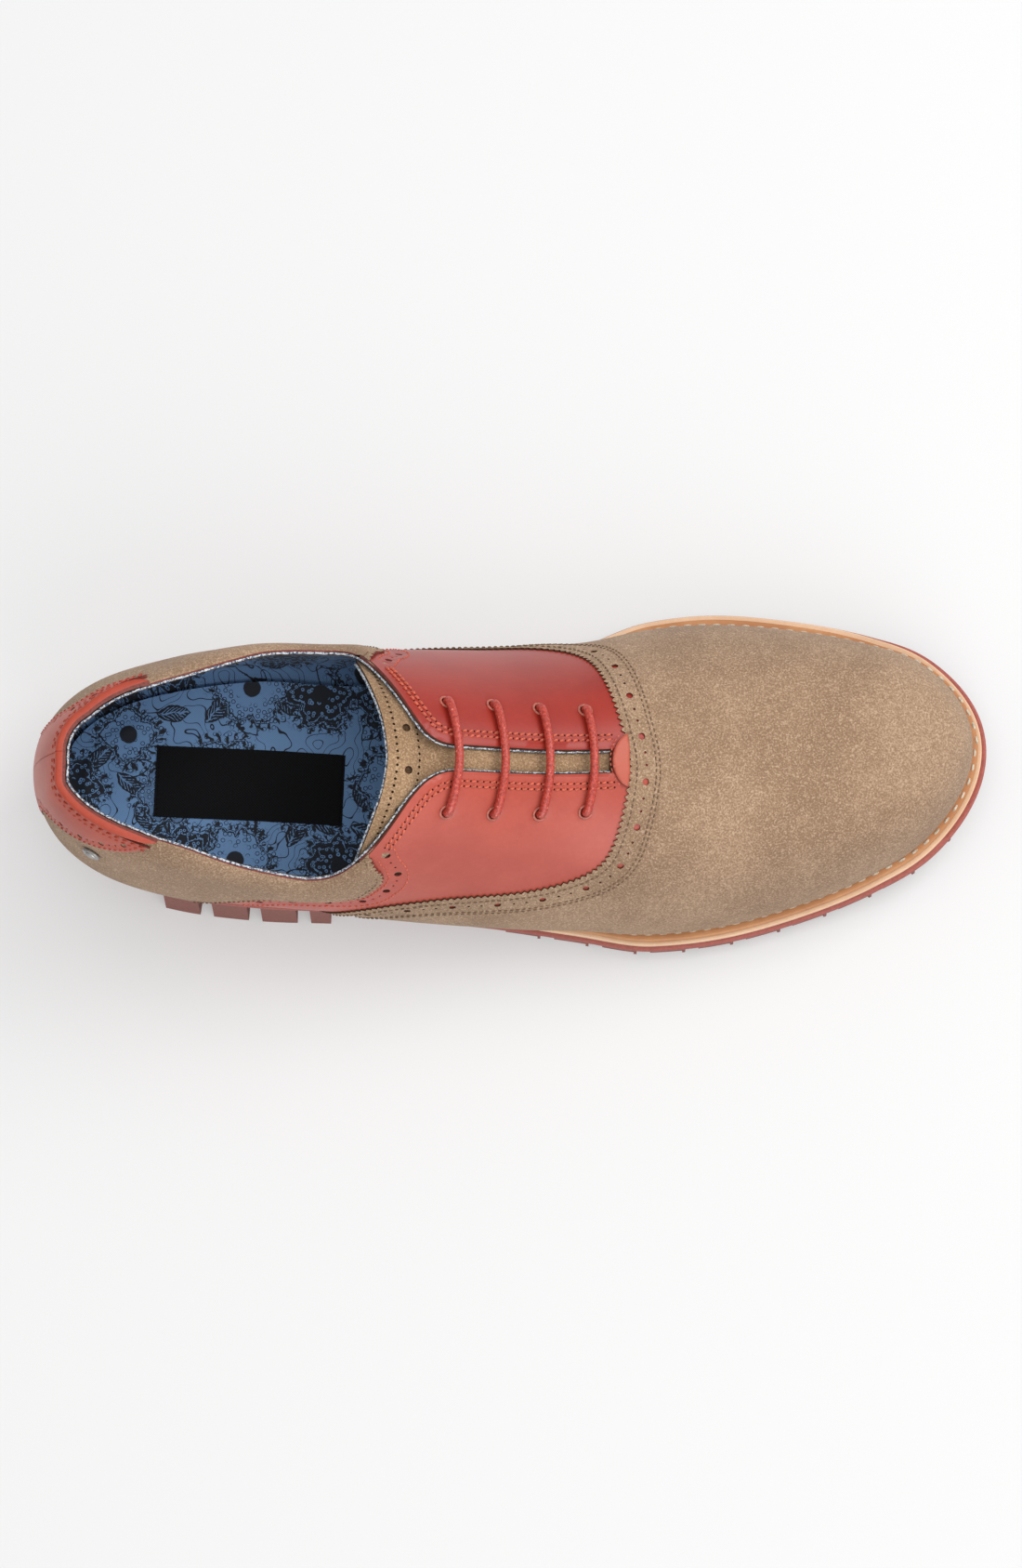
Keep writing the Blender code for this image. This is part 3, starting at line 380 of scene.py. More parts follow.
@dataclass(frozen=True)
class Sole:
    """Heights of the sole's layers along the shoe, and their outlines."""

    at_ball: float = 0.0095
    at_heel: float = 0.0245
    heel_length: float = 0.0880
    breast_slope: float = 0.0025
    toe_spring: float = 0.0100
    midsole: float = 0.0022
    welt: float = 0.0024
    margin: float = 0.0042
    gap: float = 0.0003
    seat_end: float = 0.20
    ball_start: float = 0.60
    ball_end: float = 0.73

    def outsole_top(self, x: Array) -> Array:
        """Return the height of the outsole's upper face."""
        station = np.asarray(x) / LAST.length
        heel = (self.at_heel - self.at_ball) * (1 - ease(station, self.seat_end, self.ball_start))
        toe = self.toe_spring * (np.maximum(station - self.ball_end, 0.0) / (1 - self.ball_end)) ** 2
        return self.at_ball + heel + toe

    def welt_floor(self, x: Array) -> Array:
        """Return the height of the welt's lower face."""
        return self.outsole_top(x) + self.midsole + 2 * self.gap

    def upper_floor(self, x: Array) -> Array:
        """Return the height at which the upper stands on the welt."""
        return self.welt_floor(x) + self.welt + self.gap

    def breast(self) -> float:
        """Return the length from the heel's edge to the front of the heel."""
        return self.heel_length + self.margin * MARGINS[0][1]

    def tread(self, x: Array) -> Array:
        """Return the height of the outsole's lower face."""
        x = np.asarray(x, float)
        away = self.outsole_top(x) - self.at_ball
        return away * ease(x, self.breast(), self.breast() + self.breast_slope)

    def outline(self, turn: Array, margin: Array) -> Array:
        """Return plan positions outside the last's edge.

        Args:
            turn: 0 to 1 up the medial side from the heel, and 1 to 2 back down the lateral side.
            margin: Distance outside the edge.

        Returns:
            Points in the plan, from the heel's edge.
        """
        step = 0.002
        way = self.edge(turn + step) - self.edge(turn - step)
        outward = unit(np.stack([-way[..., 1], way[..., 0]], -1))
        return self.edge(turn) + outward * np.broadcast_to(margin, turn.shape)[..., None]

    def edge(self, turn: Array) -> Array:
        """Return the plan position of the last's edge at a turn."""
        turn = np.asarray(turn, float) % 2.0
        along = np.where(turn <= 1.0, turn, 2.0 - turn)
        return LAST.feather(along, np.where(turn <= 1.0, 1.0, -1.0))

    def welt_edge(self, turn: Array) -> Array:
        """Return how far the welt stands out past the last's edge."""
        turn = np.asarray(turn, float) % 2.0
        station = station_of(np.where(turn <= 1.0, turn, 2.0 - turn))
        medial, lateral = (read_rows(MARGINS, column, station) for column in (1, 2))
        return self.margin * np.where(turn <= 1.0, medial, lateral)


LAST = Last()
SOLE = Sole()


# Chart geometry


# Rough metres per unit of along and of rise, which make the chart nearly true to size
CHART_SCALE = np.array([0.44, 0.085])


def move_on_chart(places: Array, way: Array) -> Array:
    """Move places on the chart by a distance in space.

    Args:
        places: Pairs of along and rise.
        way: Movement in metres for each place.

    Returns:
        The moved pairs.
    """
    by_along, by_rise = LAST.spans(places[:, 0], places[:, 1])
    a = (by_along ** 2).sum(-1)
    b = (by_along * by_rise).sum(-1)
    c = (by_rise ** 2).sum(-1)
    p = (by_along * way).sum(-1)
    q = (by_rise * way).sum(-1)
    det = np.maximum(a * c - b * b, 1e-12)
    return places + np.stack([(p * c - q * b) / det, (q * a - p * b) / det], -1)


def resample(path: Array, step: float, closed: bool = False) -> tuple[Array, Array]:
    """Space a path's places evenly over the surface.

    Args:
        path: Places on the chart.
        step: Distance wanted between them.
        closed: Whether the last joins the first.

    Returns:
        The new places, and the distance of each from the start.
    """
    if closed:
        path = np.vstack([path, path[:1]])
    spots = LAST.surface(path[:, 0], path[:, 1])
    run = run_along(spots)
    count = max(2, round(run[-1] / step))
    marks = np.linspace(0.0, run[-1], count + 1)
    if closed:
        marks = marks[:-1]
    return np.stack([np.interp(marks, run, path[:, k]) for k in (0, 1)], -1), marks


def path_frame(path: Array) -> tuple[Array, Array, Array]:
    """Return the normals, the ways forward and the ways to the left along a path."""
    spots = LAST.surface(path[:, 0], path[:, 1])
    normal = LAST.normal(path[:, 0], path[:, 1])
    forward = np.gradient(spots, axis=0)
    forward = unit(forward - normal * (forward * normal).sum(-1, keepdims=True))
    return normal, forward, np.cross(normal, forward)


def beside(path: Array, distance: float | Array) -> Array:
    """Return the path moved to its right over the surface, seen from outside."""
    _, _, left = path_frame(path)
    reach = np.broadcast_to(distance, path.shape[:1])[:, None]
    return move_on_chart(path, -left * reach)


def softened(path: Array, passes: int) -> Array:
    """Return the path with its corners rounded, its ends kept."""
    made = path.copy()
    for _ in range(passes):
        made[1:-1] = 0.25 * made[:-2] + 0.5 * made[1:-1] + 0.25 * made[2:]
    return made


def gimped(path: Array, pitch: float = 0.0021, reach: float = 0.0014) -> Array:
    """Return the path cut with a row of small pointed teeth that stand out to its right.

    Args:
        path: Places on the chart.
        pitch: Distance between teeth.
        reach: How far each stands out.

    Returns:
        The path with its teeth.
    """
    fine, run = resample(path, pitch / 6)
    phase = (run / pitch) % 1.0
    tooth = 1 - np.abs(2 * phase - 1)
    fade = np.clip(np.minimum(run, run[-1] - run) / pitch, 0.0, 1.0)
    return beside(fine, (tooth ** 0.8 - 0.5) * reach * fade)


def toothed(edge: Array, side: int, pitch: float, reach: float) -> Array:
    """Return one side's edge, which runs up from the foot, with teeth that stand out ahead of it."""
    return gimped(edge, pitch, reach) if side == LATERAL else gimped(edge[::-1], pitch, reach)[::-1]


def disc(spot: Sequence[float], radius: float, sides: int = 14) -> Array:
    """Return a round hole's edge.

    Args:
        spot: Its middle on the chart.
        radius: Its radius on the surface.
        sides: Number of points.

    Returns:
        Places on the chart.
    """
    centre = np.array([spot], float)
    by_along, by_rise = LAST.spans(centre[:, 0], centre[:, 1])
    first = unit(by_along)
    normal = unit(np.cross(by_rise, by_along))
    second = np.cross(normal, first)
    angle = np.linspace(0, 2 * np.pi, sides, endpoint=False)[:, None]
    ways = (np.cos(angle) * first + np.sin(angle) * second) * radius
    return move_on_chart(np.repeat(centre, sides, 0), ways)


def inside(points: Array, loop: Array) -> Array:
    """Return which points lie inside a closed loop on the chart."""
    x, y = points[:, 0], points[:, 1]
    found = np.zeros(len(points), bool)
    for (ax, ay), (bx, by) in zip(loop, np.roll(loop, -1, axis=0)):
        if ay == by:
            continue
        crosses = (ay > y) != (by > y)
        found ^= crosses & (x < (bx - ax) * (y - ay) / (by - ay) + ax)
    return found


@dataclass
class Pattern:
    """A piece of the upper cut out on the chart: places and the triangles that join them."""

    places: Array
    faces: list[tuple[int, ...]]

    @classmethod
    def cut(cls, loops: Sequence[Array], holes: Sequence[Array] = (), mesh: float = 0.0022) -> "Pattern":
        """Cut a pattern.

        Args:
            loops: Outer edges, each closed.
            holes: Edges of the holes through it.
            mesh: Rough size of a triangle.

        Returns:
            The pattern, joined at the heel and the toe.
        """
        edges = [loop * CHART_SCALE for loop in (*loops, *holes)]
        points = np.vstack(edges)
        links, start = [], 0
        for edge in edges:
            count = len(edge)
            links += [(start + i, start + (i + 1) % count) for i in range(count)]
            start += count
        low, high = points.min(0), points.max(0)
        grid_x = np.arange(low[0] + mesh / 2, high[0], mesh)
        grid_y = np.arange(low[1] + mesh / 2, high[1], mesh)
        grid = np.stack([value.ravel() for value in np.meshgrid(grid_x, grid_y)], -1)
        grid = grid[cls.covers(grid, edges, len(loops))]
        near = np.zeros(len(grid), bool)
        for chunk in np.array_split(points, max(1, len(points) // 200)):
            gap = ((grid[:, None, :] - chunk[None]) ** 2).sum(-1).min(1)
            near |= gap < (0.38 * mesh) ** 2
        every = np.vstack([points, grid[~near]])
        made = delaunay_2d_cdt([Vector(p) for p in every], links, [], 0, 1e-7)
        spots = np.array([tuple(v) for v in made[0]])
        tris = np.array(made[2])
        keep = cls.covers(spots[tris].mean(1), edges, len(loops))
        return cls(spots / CHART_SCALE, [tuple(face) for face in tris[keep]])

    @staticmethod
    def covers(points: Array, edges: Sequence[Array], outer: int) -> Array:
        """Return which points lie in an outer edge and in no hole."""
        found = np.zeros(len(points), bool)
        for loop in edges[:outer]:
            found |= inside(points, loop)
        for loop in edges[outer:]:
            found &= ~inside(points, loop)
        return found


@dataclass
class Build:
    """Points, faces and cloth coordinates gathered for one piece."""

    points: list[Array] = field(default_factory=list)
    faces: list[tuple[int, ...]] = field(default_factory=list)
    cloth: list[Array] = field(default_factory=list)
    kinds: list[int] = field(default_factory=list)
    count: int = 0

    def add(
        self, points: Array, faces: Sequence[Sequence[int]], cloth: Array | None = None,
        kinds: Sequence[int] = (),
    ) -> None:
        """Add a mesh.

        Args:
            points: Its corners.
            faces: Its faces, by corner.
            cloth: The corners' places on the cloth, in metres.
            kinds: For each face, 0 for the piece's finish or 1 for that of its cut edges.
        """
        self.faces += [tuple(int(k) + self.count for k in face) for face in faces]
        self.kinds += list(kinds) or [0] * len(faces)
        self.points.append(np.asarray(points, float))
        self.cloth.append(np.zeros((len(points), 2)) if cloth is None else cloth)
        self.count += len(points)

    def piece(
        self, name: str, material: Material, slot: Slot, node: str, sharp: float = 40,
        cut: Material | None = None,
    ) -> bpy.types.Object:
        """Turn what was gathered into a piece that stands for a CAD node.

        Args:
            name: The piece's name.
            material: Its finish.
            slot: A material slot. It is not used.
            node: The CAD node that it stands for.
            sharp: Angle in degrees past which an edge stays sharp.
            cut: The finish of its cut edges, where that differs.

        Returns:
            The piece.
        """
        data = bpy.data.meshes.new(name)
        data.from_pydata(np.vstack(self.points).tolist(), [], self.faces)
        data.polygons.foreach_set("material_index", self.kinds)
        data.materials.append(material)
        if cut is not None:
            data.materials.append(cut)
        data.validate()
        layer = data.uv_layers.new(name="cloth")
        flat = np.vstack(self.cloth)
        corners = np.zeros(len(data.loops), int)
        data.loops.foreach_get("vertex_index", corners)
        layer.data.foreach_set("uv", flat[corners].astype(np.float32).ravel())
        data.shade_smooth()
        data.set_sharp_from_angle(angle=math.radians(sharp))
        made = bpy.data.objects.new(name, data)
        bpy.context.scene.collection.objects.link(made)
        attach(made, "root")
        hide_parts(node)
        log.info("%s: %d faces", name, len(data.polygons))
        return made


def cloth_places(places: Array) -> Array:
    """Return places on the chart as nearly true lengths, for weaves and prints."""
    grid = np.linspace(0.0, 1.0, 400)
    edge = LAST.feather(grid, np.ones_like(grid))
    run = run_along(edge)
    across = places[:, 0]
    return np.stack([np.interp(across, grid, run), places[:, 1] * 0.10], -1)


def relaxed(points: Array, corners: Array, centre: Array, reach: float, passes: int = 40) -> None:
    """Smooth points in place round a centre, where the chart's lines draw together.

    Args:
        points: The points.
        corners: The triangles that join them.
        centre: Middle of the smoothed part.
        reach: Its radius.
        passes: How many times each point moves to the middle of its neighbours.
    """
    weight = ease(np.linalg.norm(points - centre, axis=1), reach, 0.4 * reach)[:, None]
    if not weight.any():
        return
    pairs = np.vstack([corners[:, [0, 1]], corners[:, [1, 2]], corners[:, [2, 0]]])
    pairs = np.vstack([pairs, pairs[:, ::-1]])
    count = np.maximum(np.bincount(pairs[:, 0], minlength=len(points)), 1)[:, None]
    for _ in range(passes):
        total = np.zeros_like(points)
        np.add.at(total, pairs[:, 0], points[pairs[:, 1]])
        points += (total / count - points) * weight


def laid(
    build: Build, pattern: Pattern, inner: Depth, outer: Depth, roll: float = 0.0, cover: int = 0
) -> None:
    """Lay a pattern on the last as a solid of some thickness, and add it to a build.

    Args:
        build: What to add it to.
        pattern: The cut piece.
        inner: Depth of its back.
        outer: Depth of its face.
        roll: How far the face turns down at its cut edges.
        cover: 1 where its outer side has the finish of its cut edges.
    """
    middle = LAST.at(pattern.places, 0.0)
    keys: dict[tuple[int, ...], int] = {}
    same = np.empty(len(middle), int)
    for k, spot in enumerate(np.round(middle * 1e6).astype(int)):
        same[k] = keys.setdefault(tuple(spot), k)
    used, where = np.unique(same, return_inverse=True)
    faces = [tuple(where[k] for k in face) for face in pattern.faces]
    faces = [face for face in faces if len(set(face)) == 3]
    places = pattern.places[used]
    near = LAST.at(places, inner)
    far = LAST.at(places, outer)
    corners = np.array(faces)
    for layer in (near, far):
        relaxed(layer, corners, LAST.point(np.array(0.9995), np.array(1.0), 0.0), 0.016)
    trio = far[corners]
    way = np.cross(trio[:, 1] - trio[:, 0], trio[:, 2] - trio[:, 0])
    out = (trio - near[corners]).mean(1)
    flip = (way * out).sum(-1) < 0
    corners[flip] = corners[flip][:, ::-1]
    seen: dict[tuple[int, int], int] = {}
    for a, b, c in corners:
        for edge in ((a, b), (b, c), (c, a)):
            seen[edge] = seen.get(edge, 0) + 1
    rim = [edge for edge in seen if edge[::-1] not in seen]
    if roll:
        marked = np.zeros(len(far), bool)
        marked[[k for edge in rim for k in edge]] = True
        far[marked] += unit(near[marked] - far[marked]) * roll
    count = len(far)
    every = [tuple(face) for face in corners]
    every += [tuple(k + count for k in face[::-1]) for face in corners]
    every += [(b, a, a + count, b + count) for a, b in rim]
    cloth = cloth_places(places)
    kinds = [cover] * len(corners) + [0] * len(corners) + [1] * len(rim)
    build.add(np.vstack([far, near]), every, np.vstack([cloth, cloth]), kinds)


def wrapped(rows: int, sides: int, closed: bool = False) -> list[tuple[int, ...]]:
    """Return the faces that join rings of points into a tube.

    Args:
        rows: Number of rings.
        sides: Points in each.
        closed: Whether the last ring joins the first. Without it both ends are capped.

    Returns:
        The faces, by corner.
    """
    faces = []
    for i in range(rows if closed else rows - 1):
        n = (i + 1) % rows
        for j in range(sides):
            k = (j + 1) % sides
            faces.append((i * sides + j, i * sides + k, n * sides + k, n * sides + j))
    if not closed:
        faces += [tuple(range(sides))[::-1], tuple((rows - 1) * sides + j for j in range(sides))]
    return faces


def tube(build: Build, line: Array, radius: Depth, sides: int, closed: bool = False) -> None:
    """Add a tube along a line, with its length and its way round as cloth coordinates.

    Args:
        build: What to add it to.
        line: Points of its middle.
        radius: Radius, or the radius by length from the start and angle round.
        sides: Points round it.
        closed: Whether its ends join.
    """
    forward = unit(np.roll(line, -1, 0) - np.roll(line, 1, 0) if closed else np.gradient(line, axis=0))
    side = np.zeros_like(line)
    side[0] = unit(np.cross(forward[0], [0.0, 0.0, 1.0]) + [1e-6, 0, 0])
    for i in range(1, len(line)):
        side[i] = unit(side[i - 1] - forward[i] * (side[i - 1] @ forward[i]))
    up = np.cross(forward, side)
    run = run_along(line)
    angle = np.linspace(0, 2 * np.pi, sides, endpoint=False)
    reach = radius(run[:, None], angle[None]) if callable(radius) else np.full((len(line), sides), radius)
    ring = side[:, None] * np.cos(angle)[None, :, None] + up[:, None] * np.sin(angle)[None, :, None]
    points = (line[:, None] + ring * reach[..., None]).reshape(-1, 3)
    cloth = np.stack([np.repeat(run, sides), np.tile(angle, len(line)) * 0.001], -1)
    build.add(points, wrapped(len(line), sides, closed), cloth)


def threads(build: Build, spots: Array, forward: Array, normal: Array, length: float, radius: float) -> None:
    """Add stitches, each a short rounded thread that dips in at both ends.

    Args:
        build: What to add them to.
        spots: The middle of each stitch.
        forward: The way each runs.
        normal: The way up from the surface.
        length: Length of a stitch.
        radius: Half its thickness.
    """
    shares = np.array([-0.5, -0.42, -0.2, 0.2, 0.42, 0.5])
    sizes = np.array([0.35, 0.8, 1.0, 1.0, 0.8, 0.35])
    drop = np.array([-1.1, -0.45, 0.0, 0.0, -0.45, -1.1])
    angle = np.linspace(0, 2 * np.pi, 6, endpoint=False)
    faces = wrapped(len(shares), len(angle))
    for spot, ahead, up, across in zip(spots, forward, normal, np.cross(normal, forward)):
        middle = spot + ahead * (shares * length)[:, None] + up * (drop * radius)[:, None]
        ring = across * np.cos(angle)[:, None] + up * np.sin(angle)[:, None]
        build.add((middle[:, None] + ring[None] * (sizes * radius)[:, None, None]).reshape(-1, 3), faces)


def stitch_row(
    build: Build, path: Array, depth: float, pitch: float, radius: float, slant: float, share: float,
    pits: Build | None = None,
) -> None:
    """Sew a row of stitches along a path.

    Args:
        build: What to add it to.
        path: Places on the chart.
        depth: Depth of the face that is sewn.
        pitch: Distance between stitches.
        radius: Half the thread's thickness.
        slant: How far each stitch leans to the left, as a share of its way forward.
        share: Length of a stitch as a share of the pitch.
        pits: What to add the needle holes between the stitches to, as flat discs of painted shade.
    """
    row, _ = resample(path, pitch)
    # Each needle hole is a flat dark disc just over the face: painted shade.
    for place in (row[:-1] + row[1:]) / 2 if pits else ():
        ring = disc(place, 0.00034, 8)
        pits.add(LAST.at(ring, depth + 0.00004), [tuple(range(8))])
    normal, forward, left = path_frame(row)
    spots = LAST.at(row, depth + 0.4 * radius)
    threads(build, spots[1:-1], unit(forward + slant * left)[1:-1], normal[1:-1], share * pitch, radius)


def along_row(path: Array, pitch: float, centre: float = 0.5, phase: float = 0.5) -> Array:
    """Return places at an even pitch along a path, counted from a point on it.

    Args:
        path: Places on the chart.
        pitch: Distance between them.
        centre: Share of the path's length from which they are counted.
        phase: Share of a pitch between that point and the first place.

    Returns:
        The places.
    """
    spots = LAST.surface(path[:, 0], path[:, 1])
    run = run_along(spots)
    start = run[-1] * centre + pitch * phase
    marks = np.arange(start - math.floor(start / pitch) * pitch, run[-1], pitch)
    return np.stack([np.interp(marks, run, path[:, k]) for k in (0, 1)], -1)


def side_line(rows: Sequence[Sequence[float]], side: int, count: int = 160) -> Array:
    """Return a table of stations and rises as a path, from the foot up.

    Args:
        rows: The table.
        side: Which side of the chart.
        count: A third of how many places are read.

    Returns:
        Places on the chart.
    """
    station = np.linspace(rows[0][0], rows[-1][0], count * 3)
    path = on_side(along_of(station), read_rows(rows, 1 if side == MEDIAL else 2, station), side)
    return softened(resample(path, 0.0008)[0], 24)


def vamp_edge() -> Array:
    """Return the vamp's back edge from the medial foot over the ridge to the lateral foot."""
    medial = side_line(VAMP_LINE, MEDIAL)
    lateral = side_line(VAMP_LINE, LATERAL)[::-1]
    return softened(resample(np.vstack([medial, lateral[1:]]), 0.0008)[0], 40)


def opening_path(side: int, start: float, end: float, count: int = 400) -> Array:
    """Return the opening's edge on one side between two along values."""
    along = np.linspace(start, end, count)
    return on_side(along, LAST.opening(along, side), side)


def on_side(along: Array, rise: Array, side: int) -> Array:
    """Return places on one side of the chart, with the rise counted from that side's welt."""
    along, rise = np.broadcast_arrays(np.asarray(along, float), np.asarray(rise, float))
    return np.stack([along, rise if side == MEDIAL else 2.0 - rise], -1)


def side_rise(path: Array, side: int) -> Array:
    """Return the rises of a path's places, counted from one side's welt."""
    return path[:, 1] if side == MEDIAL else 2 - path[:, 1]


def below_opening(along: Array, rise: Array) -> Array:
    """Return about how far, in metres, places lie below the opening's edge."""
    low = np.where(rise > 1.0, 2 - rise, rise)
    top = np.where(rise > 1.0, LAST.opening(along, LATERAL), LAST.opening(along, MEDIAL))
    return (top - low) * 0.075


@dataclass(frozen=True)
class Brogue:
    """A band of perforations and sewing beside a cut edge."""

    first: float = 0.0022
    middle: float = 0.0054
    last: float = 0.0086
    pair: float = 0.0013
    pitch: float = 0.0142
    hole: float = 0.00108
    dot: float = 0.00042

    def punched(
        self, edge: Array, way: int, anchor: Sequence[float] | None = None, low: float = 0.035
    ) -> list[Array]:
        """Return the edges of the band's holes.

        Args:
            edge: The cut edge.
            way: 1 where the band lies to its right, -1 to its left.
            anchor: A place on the chart that gets a hole. Without it the ridge lies between two holes.
            low: Rise below which there are no holes.

        Returns:
            The holes' edges on the chart.
        """
        row = beside(edge, way * self.middle)
        share = self.start(row, anchor)
        found = [disc(place, self.hole, 16) for place in along_row(row, self.pitch, share)]
        for shift in (0.36, 0.64):
            found += [disc(place, self.dot, 8) for place in along_row(row, self.pitch, share, 0.5 + shift)]
        return [hole for hole in found if low < hole[:, 1].min() and hole[:, 1].max() < 2 - low]

    def sew(self, build: Build, edge: Array, way: int, depth: float, low: float = 0.03) -> None:
        """Sew the band's rows.

        Args:
            build: What to add the stitches to.
            edge: The cut edge.
            way: 1 where the band lies to its right, -1 to its left.
            depth: Depth of the face that is sewn.
            low: Rise below which there are no stitches.
        """
        for gap in (self.first, self.last, self.last + self.pair):
            row = beside(edge, way * gap)
            row = row[(row[:, 1] > low) & (row[:, 1] < 2 - low)]
            stitch_row(build, row, depth, 0.0019, 0.00024, 0.0, 0.66)

    def start(self, path: Array, anchor: Sequence[float] | None) -> float:
        """Return the share of a path's length from which its holes are counted.

        Args:
            path: Places on the chart.
            anchor: A place that gets a hole. Without it they are counted from the ridge.

        Returns:
            The share.
        """
        spots = LAST.surface(path[:, 0], path[:, 1])
        run = run_along(spots)
        if anchor is None:
            return float(np.interp(1.0, path[:, 1], run) / run[-1])
        goal = LAST.surface(np.array(anchor[0]), np.array(anchor[1]))
        return float((run[np.linalg.norm(spots - goal, axis=1).argmin()] - self.pitch / 2) / run[-1])


# Shader groups and finishes


@dataclass
class Sheet:
    """A node tree with short ways to add and join nodes."""

    tree: Tree

    def node(self, kind: str, **values: object) -> Node:
        """Add a node and set its properties or, by socket name, its inputs."""
        made = self.tree.nodes.new(kind)
        for key, value in values.items():
            if hasattr(made, key):
                setattr(made, key, value)
            else:
                made.inputs[key.replace("_", " ").title()].default_value = value
        return made

    def join(self, source: Socket, target: Socket) -> None:
        """Join two sockets."""
        self.tree.links.new(source, target)

    def feed(self, target: Socket, value: object) -> None:
        """Give a socket its value: another socket, a colour or a number."""
        if isinstance(value, Socket):
            self.join(value, target)
        else:
            target.default_value = (*value, 1.0) if isinstance(value, tuple) else value

    def maths(self, operation: str, *values: object) -> Socket:
        """Reckon with one or two sockets or numbers and return the result."""
        made = self.node("ShaderNodeMath", operation=operation)
        for socket, value in zip(made.inputs, values):
            self.feed(socket, value)
        return made.outputs[0]

    def chain(self, operation: str, values: Sequence[object]) -> Socket:
        """Reckon with any number of sockets or numbers in turn and return the result."""
        result = values[0]
        for value in values[1:]:
            result = self.maths(operation, result, value)
        return result

    def plus(self, *values: object) -> Socket:
        """Return the sum of values."""
        return self.chain("ADD", values)

    def times(self, *values: object) -> Socket:
        """Return the product of values."""
        return self.chain("MULTIPLY", values)

    def less(self, first: object, second: object) -> Socket:
        """Return the first value less the second."""
        return self.maths("SUBTRACT", first, second)

    def most(self, *values: object) -> Socket:
        """Return the greatest of values."""
        return self.chain("MAXIMUM", values)

    def band(self, value: Socket, low: float, high: float) -> Socket:
        """Stretch a value so that low becomes 0 and high becomes 1."""
        made = self.node("ShaderNodeMapRange", interpolation_type="SMOOTHSTEP", from_min=low, from_max=high)
        self.join(value, made.inputs["Value"])
        return made.outputs["Result"]

    def blend(self, share: object, first: object, second: object) -> Socket:
        """Mix two colours and return the result."""
        made = self.node("ShaderNodeMix", data_type="RGBA")
        for number, value in ((0, share), (6, first), (7, second)):
            self.feed(made.inputs[number], value)
        return made.outputs[2]

    def noise(self, place: Socket, scale: float, detail: float = 2.0, rough: float = 0.5) -> Socket:
        """Add noise over a place and return its value."""
        made = self.node("ShaderNodeTexNoise", scale=scale, detail=detail, roughness=rough)
        self.join(place, made.inputs["Vector"])
        return made.outputs["Fac"]

    def stroke(self, value: Socket, at: float, half: float) -> Socket:
        """Return 1 where a value lies within half of a level, with soft edges."""
        return self.band(self.maths("ABSOLUTE", self.less(value, at)), 1.25 * half, 0.75 * half)

    def scattered(self, place: Socket, scale: float, scatter: float) -> tuple:
        """Scatter flat cells and return the ways from each middle, its tints and the distance."""
        cells = self.cells(place, scale, scatter)
        away = self.node("ShaderNodeVectorMath", operation="SUBTRACT")
        self.join(place, away.inputs[0])
        self.join(cells.outputs["Position"], away.inputs[1])
        split, tint = self.node("ShaderNodeSeparateXYZ"), self.node("ShaderNodeSeparateXYZ")
        self.join(away.outputs[0], split.inputs[0])
        self.join(cells.outputs["Color"], tint.inputs[0])
        ways = [self.times(split.outputs[k], scale) for k in (0, 1)]
        return *ways, tint.outputs, cells.outputs["Distance"]

    def cells(self, place: Socket, scale: float, scatter: float) -> Node:
        """Add flat cells over a place and return their node."""
        made = self.node("ShaderNodeTexVoronoi", voronoi_dimensions="2D", scale=scale, randomness=scatter)
        self.join(place, made.inputs["Vector"])
        return made


def new_group(name: str, inputs: dict[str, object], outputs: Sequence[str]) -> tuple:
    """Start a shader group.

    Args:
        name: Its name.
        inputs: Default value of each input, a number or a colour.
        outputs: Names of its outputs, each a number but for the one named Colour.

    Returns:
        The group, a sheet over it, and the sockets that bring its inputs and take its outputs.
    """
    tree = bpy.data.node_groups.new(name, "ShaderNodeTree")
    sheet = Sheet(tree)
    for key, value in inputs.items():
        kind = "NodeSocketColor" if isinstance(value, tuple) else "NodeSocketFloat"
        sheet.feed(tree.interface.new_socket(name=key, in_out="INPUT", socket_type=kind), value)
    for key in outputs:
        kind = "NodeSocketColor" if key == "Colour" else "NodeSocketFloat"
        tree.interface.new_socket(name=key, in_out="OUTPUT", socket_type=kind)
    return tree, sheet, tree.nodes.new("NodeGroupInput").outputs, tree.nodes.new("NodeGroupOutput").inputs


def make_nap_group() -> Tree:
    """Make the group for a suede's nap: fine fibres, brushed patches and light tips."""
    tree, sheet, given, made = new_group(
        "nap",
        {"Colour": (0.4, 0.28, 0.18), "Shade": (0.2, 0.13, 0.08), "Tips": (0.6, 0.45, 0.3), "Patches": 0.5},
        ("Colour", "Height"),
    )
    place = sheet.node("ShaderNodeTexCoord").outputs["Object"]
    fibres = sheet.noise(place, 1700.0, 2.0, 0.7)
    tufts = sheet.noise(place, 520.0, 2.0, 0.6)
    patches = sheet.noise(place, 27.0, 4.0, 0.62)
    brushed = sheet.times(sheet.band(patches, 0.62, 0.36), given["Patches"])
    base = sheet.blend(brushed, given["Colour"], given["Shade"])
    darker = sheet.blend(sheet.times(sheet.band(fibres, 0.58, 0.36), 0.60), base, given["Shade"])
    light = sheet.blend(sheet.times(sheet.band(fibres, 0.50, 0.70), 0.60), darker, given["Tips"])
    coarse = sheet.times(sheet.band(tufts, 0.60, 0.38), 0.22)
    sheet.join(sheet.blend(coarse, light, given["Shade"]), made["Colour"])
    sheet.join(sheet.plus(sheet.times(tufts, 0.6), fibres), made["Height"])
    return tree


